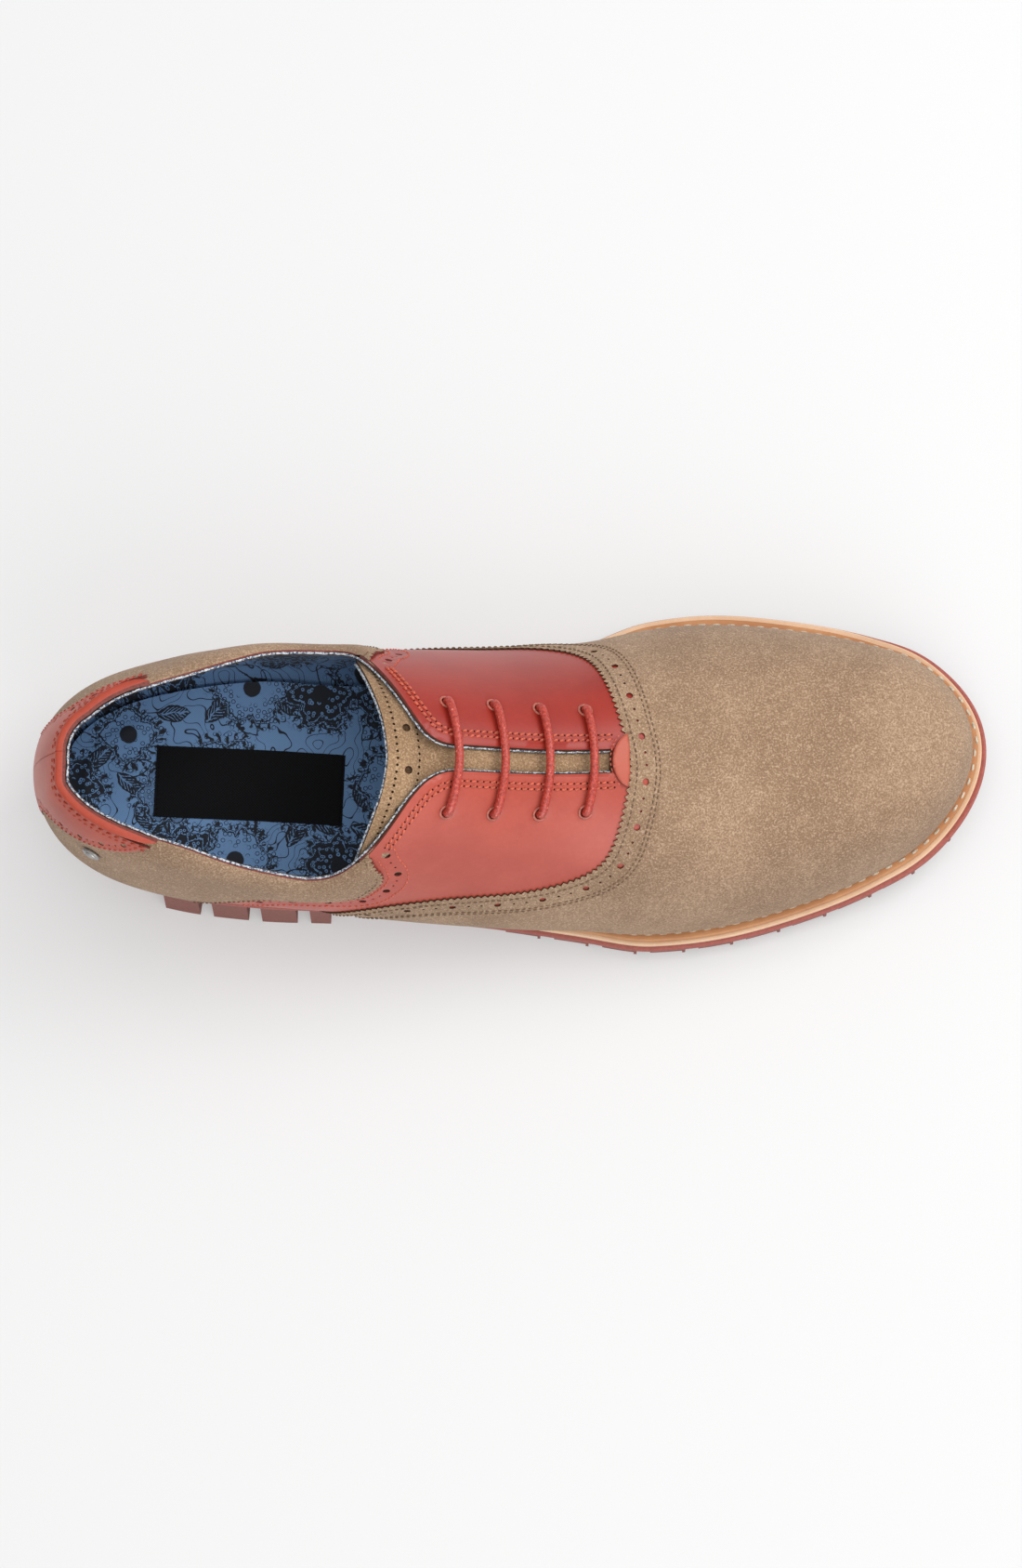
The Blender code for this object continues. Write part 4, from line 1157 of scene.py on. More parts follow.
def make_grain_group() -> Tree:
    """Make the group for smooth leather: pores, soft creases, burnished patches and mottling."""
    tree, sheet, given, made = new_group(
        "grain",
        {"Colour": (0.45, 0.08, 0.05), "Burnish": (0.25, 0.03, 0.02), "Mottle": 0.5, "Pores": 900.0},
        ("Colour", "Height"),
    )
    place = sheet.node("ShaderNodeTexCoord").outputs["Object"]
    cells = sheet.node("ShaderNodeTexVoronoi")
    sheet.join(place, cells.inputs["Vector"])
    sheet.join(given["Pores"], cells.inputs["Scale"])
    clouds = sheet.noise(place, 38.0, 4.0, 0.6)
    speckle = sheet.noise(place, 700.0, 2.0, 0.6)
    dark = sheet.times(sheet.band(clouds, 0.60, 0.35), given["Mottle"])
    base = sheet.blend(dark, given["Colour"], given["Burnish"])
    fine = sheet.times(sheet.band(speckle, 0.62, 0.40), 0.16)
    sheet.join(sheet.blend(fine, base, given["Burnish"]), made["Colour"])
    creases = sheet.noise(place, 130.0, 3.0, 0.5)
    height = sheet.plus(sheet.times(cells.outputs["Distance"], 0.25), sheet.times(creases, 0.8))
    sheet.join(height, made["Height"])
    return tree


def make_weave_group() -> Tree:
    """Make the group for a fine woven cloth, from its cloth coordinates."""
    tree, sheet, given, made = new_group("weave", {"Pitch": 0.0006}, ("Thread", "Height"))
    split = sheet.node("ShaderNodeSeparateXYZ")
    sheet.join(sheet.node("ShaderNodeTexCoord").outputs["UV"], split.inputs[0])
    turn = sheet.maths("DIVIDE", 2 * math.pi, given["Pitch"])
    across = sheet.maths("SINE", sheet.times(split.outputs[0], turn))
    up = sheet.maths("SINE", sheet.times(split.outputs[1], turn))
    checks = sheet.times(across, up)
    sheet.join(sheet.band(checks, -1.0, 1.0), made["Thread"])
    sheet.join(checks, made["Height"])
    return tree


def make_print_group() -> Tree:
    """Make the group for a printed cloth: open and filled blossoms, veined leaves, bubbles and scrolls."""
    tree, sheet, given, made = new_group("print", {"Size": 0.026}, ("Ink",))
    plus, times, less, most = sheet.plus, sheet.times, sheet.less, sheet.most
    band, stroke = sheet.band, sheet.stroke
    scaled = sheet.node("ShaderNodeVectorMath", operation="SCALE")
    sheet.join(sheet.node("ShaderNodeTexCoord").outputs["UV"], scaled.inputs[0])
    sheet.join(sheet.maths("DIVIDE", 1.0, given["Size"]), scaled.inputs["Scale"])
    grid = scaled.outputs[0]
    ragged = less(sheet.noise(grid, 6.0, 3.0, 0.65), 0.5)

    away, side, tint, spread = sheet.scattered(grid, 1.0, 0.7)
    angle = sheet.maths("ARCTAN2", side, away)
    count = plus(2.0, sheet.maths("ROUND", times(tint[0], 2.0)))
    petal = sheet.maths("ABSOLUTE", sheet.maths("COSINE", times(angle, count)))
    reach = plus(plus(0.20, times(tint[1], 0.12)), times(petal, 0.10))
    edge = less(plus(spread, times(ragged, 0.22)), reach)
    bubble = sheet.cells(grid, 13.0, 0.75).outputs["Distance"]
    filled = times(band(edge, 0.0, -0.015), band(tint[2], 0.35, 0.40))
    filled = times(filled, less(1.0, stroke(bubble, 0.22, 0.10)), less(1.0, stroke(edge, -0.07, 0.008)))
    drawn = most(stroke(edge, 0.0, 0.011), stroke(edge, 0.035, 0.006))
    rays = sheet.maths("SINE", plus(times(angle, 26.0), times(ragged, 14.0)))
    fringe = times(band(rays, 0.30, 0.60), stroke(edge, 0.085, 0.042))
    foam = times(stroke(bubble, 0.30, 0.055), stroke(edge, -0.01, 0.16))
    heart = band(plus(spread, times(ragged, 0.03)), 0.115, 0.100)

    away, side, tint, _ = sheet.scattered(grid, 2.1, 0.9)
    turn = times(tint[0], 6.2832)
    cosine, sine = sheet.maths("COSINE", turn), sheet.maths("SINE", turn)
    ahead = plus(times(away, cosine), times(side, sine))
    across = less(times(side, cosine), times(away, sine))
    across = sheet.maths("ABSOLUTE", plus(across, times(ragged, 0.18)))
    leaf = less(across, less(0.20, times(times(ahead, ahead), 1.1)))
    rib = sheet.maths("PINGPONG", plus(ahead, times(across, 1.3)), 0.055)
    veined = times(band(rib, 0.010, 0.022), band(across, 0.012, 0.026))
    body = times(band(leaf, 0.0, -0.02), veined, band(tint[1], 0.40, 0.45))
    leaves = times(most(stroke(leaf, 0.0, 0.020), body), band(edge, 0.02, 0.04))

    scroll = sheet.maths("PINGPONG", times(sheet.noise(grid, 2.4, 1.0, 0.5), 9.0), 0.5)
    loose = times(band(scroll, 0.065, 0.035), band(edge, 0.10, 0.14))
    sheet.join(most(filled, drawn, heart, fringe, loose, leaves, foam), made["Ink"])
    return tree


class Finish:
    """A material with a Principled shader, dressed by the shoe's own groups."""

    groups: dict[str, Tree] = {}

    def __init__(self, name: str, roughness: float, **sockets: float) -> None:
        """Start a material.

        Args:
            name: Its name.
            roughness: Its overall roughness.
            sockets: Other values of the shader, by socket name with underscores.
        """
        self.material = bpy.data.materials.new(name)
        self.material.use_nodes = True
        self.sheet = Sheet(self.material.node_tree)
        self.shader = self.material.node_tree.nodes["Principled BSDF"]
        self.shader.inputs["Roughness"].default_value = roughness
        for key, value in sockets.items():
            self.shader.inputs[key.replace("_", " ")].default_value = value

    @classmethod
    def prepare(cls) -> None:
        """Build the shared groups once."""
        for make in (make_nap_group, make_grain_group, make_weave_group, make_print_group):
            tree = make()
            cls.groups[tree.name] = tree

    def place(self, group: str, **values: object) -> Node:
        """Place a shared group with its own values."""
        made = self.sheet.tree.nodes.new("ShaderNodeGroup")
        made.node_tree = self.groups[group]
        for key, value in values.items():
            self.sheet.feed(made.inputs[key], value)
        return made

    def speckle(self, scale: float, rough: float) -> Socket:
        """Return fine noise over the piece."""
        return self.sheet.noise(self.sheet.node("ShaderNodeTexCoord").outputs["Object"], scale, 2.0, rough)

    def colour(self, value: object) -> None:
        """Give the shader its colour, a socket or a fixed colour."""
        self.sheet.feed(self.shader.inputs["Base Color"], value)

    def bump(self, height: Socket, distance: float, strength: float = 1.0) -> None:
        """Roughen the surface by a height."""
        made = self.sheet.node("ShaderNodeBump", strength=strength, distance=distance)
        self.sheet.join(height, made.inputs["Height"])
        self.sheet.join(made.outputs["Normal"], self.shader.inputs["Normal"])


def suede(name: str, colour: Colour, shade: Colour, tips: Colour, patches: float) -> Material:
    """Return a suede with its nap brushed in patches."""
    made = Finish(name, 0.92, Sheen_Weight=0.10, Sheen_Roughness=0.5, Specular_IOR_Level=0.15)
    nap = made.place("nap", Colour=colour, Shade=shade, Tips=tips, Patches=patches)
    made.colour(nap.outputs["Colour"])
    made.bump(nap.outputs["Height"], 0.0005, 0.7)
    return made.material


def leather(
    name: str, colour: Colour, burnish: Colour, mottle: float, roughness: float, coat: float = 0.0
) -> Material:
    """Return a smooth leather with pores and burnished patches."""
    made = Finish(name, roughness, Coat_Weight=coat, Coat_Roughness=0.35, Specular_IOR_Level=0.38)
    grain = made.place("grain", Colour=colour, Burnish=burnish, Mottle=mottle)
    made.colour(grain.outputs["Colour"])
    made.bump(grain.outputs["Height"], 0.00012, 0.5)
    return made.material


def plain(
    name: str, colour: Colour, roughness: float, grain: float = 1200.0, dark: float = 0.55, **sockets: float
) -> Material:
    """Return a finish of one colour with fine unevenness, as dark as a share of it."""
    made = Finish(name, roughness, **sockets)
    speckle = made.speckle(grain, 0.6)
    darker = tuple(dark * part for part in colour)
    made.colour(made.sheet.blend(made.sheet.band(speckle, 0.65, 0.30), colour, darker))
    made.bump(speckle, 0.00015, 0.5)
    return made.material


def printed_cloth(name: str) -> Material:
    """Return the blue lining cloth with its charcoal print."""
    made = Finish(name, 0.7, Sheen_Weight=0.15, Sheen_Roughness=0.4, Specular_IOR_Level=0.3)
    ink = made.place("print").outputs["Ink"]
    weave = made.place("weave")
    blue = made.sheet.blend(weave.outputs["Thread"], (0.130, 0.245, 0.440), (0.190, 0.340, 0.570))
    made.colour(made.sheet.blend(ink, blue, (0.012, 0.015, 0.022)))
    made.bump(weave.outputs["Height"], 0.00006, 0.5)
    return made.material


def raw_edge(name: str) -> Material:
    """Return the frayed pale edge of the lining, speckled white and blue."""
    made = Finish(name, 0.8, Specular_IOR_Level=0.3)
    speckle = made.speckle(1300.0, 0.7)
    frayed = made.sheet.band(speckle, 0.42, 0.56)
    made.colour(made.sheet.blend(frayed, (0.07, 0.10, 0.16), (0.62, 0.66, 0.70)))
    made.bump(speckle, 0.0003, 0.8)
    return made.material


def waxed_cord(name: str) -> Material:
    """Return the waxed lace: red strands with darker speckle and pale flecks of painted highlight."""
    made = Finish(name, 0.45, Coat_Weight=0.2, Coat_Roughness=0.25, Specular_IOR_Level=0.45)
    speckle_and_glints = made.speckle(1500.0, 0.6)
    red = made.sheet.blend(made.sheet.band(speckle_and_glints, 0.60, 0.36), (0.50, 0.055, 0.034), (0.30, 0.026, 0.016))
    # The pale flecks are painted highlights for the braid's glints.
    made.colour(made.sheet.blend(made.sheet.band(speckle_and_glints, 0.66, 0.74), red, (0.72, 0.30, 0.24)))
    made.bump(speckle_and_glints, 0.00010, 0.5)
    return made.material


def woven_label(name: str) -> Material:
    """Return the black label's fine weave."""
    made = Finish(name, 0.85, Specular_IOR_Level=0.15)
    weave = made.place("weave", Pitch=0.0009)
    thread = weave.outputs["Thread"]
    made.colour(made.sheet.blend(thread, (0.0030, 0.0030, 0.0035), (0.0085, 0.0085, 0.0090)))
    made.bump(weave.outputs["Height"], 0.00008, 0.6)
    return made.material


class Finishes:
    """Every finish of the shoe."""

    def __init__(self) -> None:
        """Make them all."""
        Finish.prepare()
        self.suede = suede(
            "taupe_suede", (0.425, 0.283, 0.182), (0.205, 0.122, 0.070), (0.62, 0.45, 0.32), 0.50
        )
        self.tongue = suede(
            "tongue_suede", (0.40, 0.255, 0.145), (0.20, 0.115, 0.060), (0.62, 0.43, 0.27), 0.45
        )
        self.leather = leather("saddle_red", (0.45, 0.072, 0.045), (0.36, 0.045, 0.028), 0.5, 0.44, 0.1)
        # Darker copy of the red leather for the medial panel: painted shade on that side, the same leather as
        # the lateral panel.
        self.medial_painted_shade_leather = leather(
            "saddle_red_painted_shade", (0.335, 0.022, 0.010), (0.26, 0.012, 0.006), 0.6, 0.44, 0.25
        )
        # Flat dark discs over the needle holes: painted shade in the holes.
        self.pit = plain("needle_hole_painted_shade", (0.075, 0.012, 0.010), 0.9, 900.0, Specular_IOR_Level=0.1)
        self.stay = leather("backstay_red", (0.44, 0.085, 0.052), (0.32, 0.05, 0.03), 0.6, 0.42, 0.1)
        self.roll = leather("collar_roll", (0.42, 0.056, 0.026), (0.28, 0.030, 0.015), 0.6, 0.48, 0.05)
        self.tab = leather("tab_leather", (0.46, 0.096, 0.058), (0.42, 0.075, 0.045), 0.5, 0.5, 0.05)
        self.red_thread = plain("red_thread", (0.66, 0.130, 0.070), 0.6)
        self.brown_thread = plain("brown_thread", (0.20, 0.118, 0.066), 0.9)
        self.white_thread = plain("white_thread", (0.70, 0.60, 0.46), 0.7)
        self.cord = waxed_cord("lace_cord")
        self.cloth = printed_cloth("printed_lining")
        self.edge = raw_edge("lining_edge")
        self.label = woven_label("label_black")
        # Dark brown for cut suede edges and for sheets behind holes: partly the raw edge's own colour, partly
        # painted shade, such as the shadow line under the vamp's teeth and the dark inside the tongue's
        # holes.
        self.suede_edge_and_shade = plain("suede_cut_edge_and_painted_shade", (0.095, 0.053, 0.029), 0.95, 1500.0, Specular_IOR_Level=0.1)
        self.leather_cut = plain("leather_cut_edge", (0.20, 0.038, 0.026), 0.7)
        # Lighter pink leather for the eyelets' raised rims: painted highlight.
        self.eyelet = plain("eyelet_leather_painted_highlight", (0.54, 0.150, 0.105), 0.45, 900.0)
        self.welt = leather("welt_tan", (0.55, 0.255, 0.105), (0.40, 0.155, 0.055), 0.7, 0.5)
        self.midsole = leather("midsole_cream", (0.78, 0.54, 0.36), (0.60, 0.36, 0.20), 0.4, 0.55)
        self.rubber = plain("brick_rubber", (0.37, 0.088, 0.065), 0.6, 900.0, 0.8)
        # Darker copy of the rubber for the lugs: painted shade from the upper's shadow over them.
        self.tread = plain("brick_tread_painted_shade", (0.235, 0.074, 0.057), 0.75, 900.0, 0.8)
        self.metal = plain("stud_metal", (0.36, 0.35, 0.34), 0.35, 700.0, Metallic=1.0)


# Sub-assemblies


@dataclass(frozen=True)
class Upper:
    """The lining wall, the suede quarters and the suede vamp."""

    lining: float = -0.0018
    base: float = -0.0008
    under: float = 0.0004
    face: float = 0.0012
    padding: float = 0.0006
    thin_heel: float = 0.0005
    brogue: Brogue = Brogue()

    def build(self, finishes: Finishes) -> None:
        """Build every piece of the upper."""
        self.wall(finishes)
        self.vamp(finishes)
        self.quarters(finishes)

    def wall_loop(self, lip: float, inset: float = 0.0) -> Array:
        """Return the edge of the whole wall on the chart.

        Args:
            lip: How far the wall stops below the opening's edge, as a rise.
            inset: How far it stands back from the heel's and toe's ends, as an along value. It is not used.
        """
        medial = opening_path(MEDIAL, 0.0, float(along_of(LAST.throat_base)))
        lateral = opening_path(LATERAL, 0.0, float(along_of(LAST.throat_base)))[::-1]
        medial[:, 1] -= lip
        lateral[:, 1] += lip
        heel_top = medial[0, 1]
        up = on_side(0.0, np.linspace(0.0, heel_top, 30)[:-1], MEDIAL)
        down = on_side(0.0, np.linspace(0.0, 2 - lateral[-1, 1], 30)[:-1], LATERAL)[::-1]
        foot = np.linspace(0.0, 1.0, 260)[1:-1]
        toe = np.stack([np.ones(61), np.linspace(2.0, 0.0, 61)], -1)
        return np.vstack([
            up, medial, lateral, down,
            on_side(foot, 0.0, LATERAL), toe, on_side(foot[::-1], 0.0, MEDIAL),
        ])

    def wall(self, finishes: Finishes) -> None:
        """Build the lining, with its raw edge along the collar and the throat."""
        build = Build()
        punches = [disc(place, 0.0017) for place in LACING.places()]
        laid(build, Pattern.cut([self.wall_loop(0.0)], punches, 0.0026), self.lining, self.base, 0.0, 1)
        build.piece("lining", finishes.cloth, Slot.SUEDE, "upper", 40, finishes.suede_edge_and_shade)
        edge = Build()
        medial = opening_path(MEDIAL, 0.0, float(along_of(LAST.throat_base)))
        lateral = opening_path(LATERAL, 0.0, float(along_of(LAST.throat_base)))
        for path in (medial, lateral):
            fine, _ = resample(path, 0.0006)
            line = LAST.at(fine, self.base - 0.0004)
            wobble = np.sin(np.arange(len(line)) * 1.7) + np.sin(np.arange(len(line)) * 0.61 + 1.0)
            line[:, 2] += 0.00008 * wobble
            tube(edge, line, lambda run, angle: 0.00034 + 0.00007 * np.sin(run * 9000.0 + 3 * angle), 8)
        edge.piece("lining_edge", finishes.edge, Slot.SUEDE, "upper")

    def vamp(self, finishes: Finishes) -> None:
        """Build the vamp with its gimped and perforated back edge."""
        edge = vamp_edge()
        teeth = gimped(edge)
        foot_medial = np.linspace(teeth[0, 0], 1.0, 160)[1:-1]
        foot_lateral = np.linspace(1.0, teeth[-1, 0], 160)[1:-1]
        toe = np.stack([np.ones(61), np.linspace(2.0, 0.0, 61)], -1)
        lateral = on_side(foot_lateral[::-1], 0.0, LATERAL)
        loop = np.vstack([teeth, lateral, toe, on_side(foot_medial[::-1], 0.0, MEDIAL)])
        build = Build()
        laid(build, Pattern.cut([loop], self.brogue.punched(edge, -1)), self.under, self.face, 0.00030)
        # Its cut edges take the dark edge finish: the raw edge's colour and a painted shadow line under the
        # teeth.
        build.piece("vamp", finishes.suede, Slot.SUEDE, "upper", 40, finishes.suede_edge_and_shade)
        sewn = Build()
        self.brogue.sew(sewn, edge, -1, self.face)
        sewn.piece("vamp_stitches", finishes.brown_thread, Slot.SUEDE, "upper")

    def quarter_edge(self, side: int) -> Array:
        """Return the quarter's front edge from the foot to the collar."""
        path = side_line(QUARTER_LINE, side)
        column = 1 if side == MEDIAL else 2
        rise = side_rise(path, side)
        tip = np.array([(along_of(row[0]), row[column]) for row in QUARTER_TIP])
        tip[-1, 1] = LAST.opening(tip[-1:, 0], side)[0]
        tip = on_side(tip[:, 0], tip[:, 1], side)
        whole = np.vstack([path[rise < QUARTER_TIP[0][column] - 0.03], tip])
        return softened(resample(whole, 0.0006)[0], 10)

    def quarter_back(self, along: Array, rise: Array) -> Array:
        """Return the depth of the quarter's back, thin where it lies over the saddle."""
        low = np.where(rise > 1.0, 2 - rise, rise)
        station = station_of(along)
        medial, lateral = (read_rows(QUARTER_LINE, column, station) for column in (1, 2))
        line = np.where(rise > 1.0, lateral, medial)
        clear = ease(low - line, 0.02, 0.05) * ease(along, along_of(0.338), along_of(0.328))
        return self.under + (self.base - self.under) * clear

    def quarter_face(self, along: Array, rise: Array) -> Array:
        """Return the depth of the quarter's face, padded below the collar and rolled in at its edge."""
        gap = below_opening(along, rise)
        pad = ease(gap, 0.0015, 0.0060) * ease(gap, 0.0180, 0.0090) * ease(along, 0.20, 0.28)
        face = self.face - self.thin_heel * ease(along, 0.30, 0.20)
        return face + self.padding * pad - face * ease(gap, 0.0022, 0.0)

    def quarters(self, finishes: Finishes) -> None:
        """Build both suede quarters, joined round the heel, and the strips under the facings' corners."""
        build, sewn = Build(), Build()
        for side in (MEDIAL, LATERAL):
            edge = self.quarter_edge(side)
            teeth = toothed(edge, side, 0.0021, 0.0011)
            top = opening_path(side, float(teeth[-1, 0]), 0.0)
            tip = BACKSTAY.tip(side)
            top[:, 1] -= side * 0.020 * ease(top[:, 0], tip - 0.004, tip - 0.030)
            heel = on_side(0.0, np.linspace(1 - abs(1 - float(top[-1, 1])), 0.0, 30)[1:-1], side)
            foot = on_side(np.linspace(0.0, float(teeth[0, 0]), 70), 0.0, side)
            loop = np.vstack([teeth, top[1:], heel, foot[:-1]])
            laid(build, Pattern.cut([loop], mesh=0.0017), self.quarter_back, self.quarter_face, 0.00025)
            strip = opening_path(side, float(along_of(0.335)), float(along_of(0.470)), 120)
            strip = beside(strip, -side * 0.0012 * ease(station_of(strip[:, 0]), 0.345, 0.360))
            lower = beside(strip, -side * 0.0060)
            backing = Pattern.cut([np.vstack([strip, lower[::-1]])], mesh=0.0012)
            laid(build, backing, self.base, 0.00015, 0.0002)
            row = beside(edge, side * 0.0018)
            rise = side_rise(row, side)
            stitch_row(sewn, row[rise > 0.04], self.face, 0.0019, 0.00022, 0.0, 0.6)
        build.piece("quarters", finishes.suede, Slot.SUEDE, "upper", 40, finishes.leather_cut)
        sewn.piece("quarter_stitches", finishes.brown_thread, Slot.SUEDE, "upper")


@dataclass(frozen=True)
class Lacing:
    """The eyelets, the four bars of lace and the tab at the throat's foot."""

    radius: float = 0.00135
    bulge: float = 0.0030
    count: int = 4
    spacing: float = 0.0148
    offset_medial: float = 0.0164
    offset_lateral: float = 0.0146
    first: float = 0.426
    under: float = -0.0033
    over: float = 0.0022
    strands: int = 4
    braid: float = 0.0034

    def offset(self, side: int) -> float:
        """Return how far a side's eyelets lie from the ridge."""
        return self.offset_medial if side == MEDIAL else self.offset_lateral

    def places(self) -> list[Array]:
        """Return every eyelet's place on the chart."""
        found = []
        for side in (MEDIAL, LATERAL):
            for number in range(self.count):
                along = float(along_of(self.first + self.spacing / LAST.length * number))
                rise = float(LAST.rise_at_offset(np.array(along), self.offset(side), side))
                found.append(on_side(along, rise, side))
        return found

    def hole(self, number: float, side: int, depth: float, aside: float = 0.0) -> Array:
        """Return a point near an eyelet's axis."""
        along = along_of(self.first + self.spacing / LAST.length * number)
        rise = LAST.rise_at_offset(along, self.offset(side) + aside, side)
        place = on_side(along, rise, side)
        return LAST.at(place, depth)

    def bar(self, number: int, start: int) -> list[Array]:
        """Return a bar's points from under one facing to under the other."""
        along = along_of(self.first + self.spacing / LAST.length * number)
        rise_up = (self.under + 0.7 * self.radius, -0.0006, self.over - 0.5 * self.radius)
        points = [self.hole(number, start, depth) for depth in rise_up]
        for share in np.linspace(0.06, 0.94, 13):
            here = along_of(station_of(along) + self.bulge / LAST.length * math.sin(math.pi * share))
            side = start if share < 0.5 else -start
            rise = LAST.rise_at_offset(here, self.offset(side) * abs(1 - 2 * share), side)
            place = on_side(here, rise, side)
            points.append(LAST.at(place, self.over))
        return points + [self.hole(number, -start, depth) for depth in rise_up[::-1]]

    def braided(self, run: Array, angle: Array) -> Array:
        """Return the cord's radius by length and angle, uneven with its crossing strands."""
        turn = 2 * np.pi * run / self.braid
        one = np.cos(self.strands * angle + 2 * turn)
        other = np.cos(self.strands * angle - 2 * turn)
        return self.radius * (0.94 + 0.06 * np.maximum(one, other))

    def run(self, first: float, last: float, side: int, aside: float) -> list[Array]:
        """Return the hidden points between two eyelets on one side."""
        shares = np.linspace(0.15, 0.85, 5)
        return [
            self.hole(first + (last - first) * share, side, self.under, aside * math.sin(math.pi * share))
            for share in shares
        ]

    def build(self, finishes: Finishes) -> None:
        """Build the lace, the eyelets' rims and the tab."""
        aside = 2.4 * self.radius
        points = [self.hole(0, MEDIAL, self.under)]
        points += self.bar(0, MEDIAL) + self.run(0, 2, LATERAL, aside)
        points += self.bar(2, LATERAL) + self.run(2, 3, MEDIAL, 0.0)
        points += self.bar(3, MEDIAL) + self.run(3, 1, LATERAL, -aside)
        points += self.bar(1, LATERAL) + self.run(1, 0.3, MEDIAL, 0.0)
        line = self.smooth(np.array(points), 0.00032)
        build = Build()
        tube(build, line, self.braided, 26)
        build.piece("lace", finishes.cord, Slot.CORD, "lace", 80)
        rims = Build()
        # The rims take the lighter pink finish: painted highlight on their raised edge.
        for place in self.places():
            ring = disc(place, 0.0020, 28)
            tube(rims, LAST.at(ring, 0.00030), 0.00040, 10, True)
        rims.piece("eyelet_rims", finishes.eyelet, Slot.LEATHER, "saddle_medial", 80)
        self.tab(finishes)

    @staticmethod
    def smooth(points: Array, step: float) -> Array:
        """Return a smooth line through points, with its corners rounded and its points evenly spaced."""
        run = run_along(points)
        marks = np.linspace(0.0, run[-1], int(run[-1] / step))
        line = np.stack([np.interp(marks, run, points[:, k]) for k in range(3)], -1)
        for _ in range(9):
            line[1:-1] = 0.25 * line[:-2] + 0.5 * line[1:-1] + 0.25 * line[2:]
        return line

    def tab(self, finishes: Finishes) -> None:
        """Build the half-moon tab."""
        front = 0.634 - 0.0009 / LAST.length
        across = np.linspace(-1.0, 1.0, 41)
        back = front - 0.0058 / LAST.length * np.sqrt(np.maximum(1 - across ** 2, 0.0)) - 0.0006
        ahead = front - 0.0004 - 0.004 * across ** 2
        loops = []
        for station, order in ((back, 1), (ahead, -1)):
            along = along_of(station)
            offset = np.abs(across) * 0.0082
            medial, lateral = (LAST.rise_at_offset(along, offset, side) for side in (MEDIAL, LATERAL))
            loops.append(np.stack([along, np.where(across > 0, medial, 2 - lateral)], -1)[::order])
        loop = np.vstack([loops[0], loops[1][1:-1]])
        build = Build()
        laid(build, Pattern.cut([loop], mesh=0.0007), 0.0004, 0.0019, 0.00045)
        build.piece("tab", finishes.tab, Slot.LEATHER, "lace_keeper", 60, finishes.leather_cut)
        sewn = Build()
        stitch_row(sewn, beside(loops[0][2:-2], -0.0009), 0.0019, 0.0016, 0.00018, 0.0, 0.6)
        sewn.piece("tab_stitches", finishes.red_thread, Slot.LEATHER, "lace_keeper")


LACING = Lacing()


@dataclass(frozen=True)
class Saddle:
    """The smooth red panels on both sides, with their sewn and perforated edges."""

    back: float = -0.0006
    face: float = 0.0003
    hidden: float = 0.0125
    setback: float = 0.0004
    bead: float = 0.0006
    brogue: Brogue = Brogue(0.0020, 0.0049, 0.0080, 0.0, 0.0112, 0.0012, 0.00036)

    def build(self, finishes: Finishes) -> None:
        """Build both panels."""
        for side, name in ((MEDIAL, "medial"), (LATERAL, "lateral")):
            self.panel(side, name, finishes)

    def facing(self, side: int, start: float, end: float) -> Array:
        """Return the panel's edge beside the opening."""
        return beside(opening_path(side, start, end), -side * self.setback)

    def raised(self, along: Array, rise: Array) -> Array:
        """Return the depth of the panel's face, with a soft bead along the opening."""
        gap = below_opening(along, rise)
        return self.face + self.bead * np.exp(-((gap - 0.0013) / 0.0009) ** 2)

    def panel(self, side: int, name: str, finishes: Finishes) -> None:
        """Build one panel.

        Args:
            side: Which side of the shoe.
            name: That side's name.
            finishes: The shoe's finishes.
        """
        base = float(along_of(LAST.throat_base))
        vamp = side_line(VAMP_LINE, side)
        under_vamp = beside(vamp, -side * self.hidden)
        rise = side_rise(under_vamp, side)
        under_vamp = under_vamp[(rise > 0.012) & (rise < 0.97)]
        quarter = UPPER.quarter_edge(side)
        under_quarter = beside(side_line(QUARTER_LINE, side), side * 0.0055)
        rise = side_rise(under_quarter, side)
        limit = LAST.opening(under_quarter[:, 0], side) - 0.05
        under_quarter = under_quarter[(rise > 0.012) & (rise < limit)]
        corner = float(quarter[-1, 0])
        top = self.facing(side, corner, base)
        ahead = on_side(np.linspace(base, float(under_vamp[-1, 0]), 12)[1:], 0.995, side)
        foot = on_side(np.linspace(float(under_vamp[0, 0]), float(under_quarter[0, 0]), 60), -0.006, side)
        loop = np.vstack([under_quarter, top, ahead, under_vamp[::-1], foot])
        eyelets = [place for place in LACING.places() if (place[1] > 1) == (side == LATERAL)]
        holes = [disc(place, 0.0017, 20) for place in eyelets]
        anchor = on_side(along_of(0.381), 0.425 if side == LATERAL else 0.360, side)
        band = [hole for hole in self.brogue.punched(quarter, -side, anchor) if self.clear(hole)]
        build = Build()
        laid(build, Pattern.cut([loop], holes + band, 0.0016), self.back, self.raised, 0.0003)
        node = "saddle_" + name
        # The medial panel takes the darker copy of the red: painted shade.
        finish = finishes.medial_painted_shade_leather if side == MEDIAL else finishes.leather
        build.piece(node + "_panel", finish, Slot.LEATHER, node, 40, finishes.leather_cut)
        sewn = Build()
        facing = softened(resample(self.facing(side, corner + 0.004, base + 0.004), 0.001)[0], 6)
        pits = Build()
        for gap in (0.0029, 0.0045):
            stitch_row(sewn, beside(facing, -side * gap), self.face, 0.0022, 0.00042, 0.35, 0.86, pits)
        pits.piece(node + "_needle_holes", finishes.pit, Slot.LEATHER, node)
        for gap in (self.brogue.first, self.brogue.last):
            row = beside(quarter, -side * gap)
            low = side_rise(row, side)
            room = below_opening(row[:, 0], row[:, 1])
            stitch_row(sewn, row[(low > 0.04) & (room > 0.0062)], self.face, 0.0019, 0.00026, 0.0, 0.66)
        sewn.piece(node + "_stitches", finishes.red_thread, Slot.LEATHER, node)

    @staticmethod
    def clear(hole: Array) -> bool:
        """Return whether a hole lies clear of the facing's stitches."""
        return bool((below_opening(hole[:, 0], hole[:, 1]) > 0.0070).all())


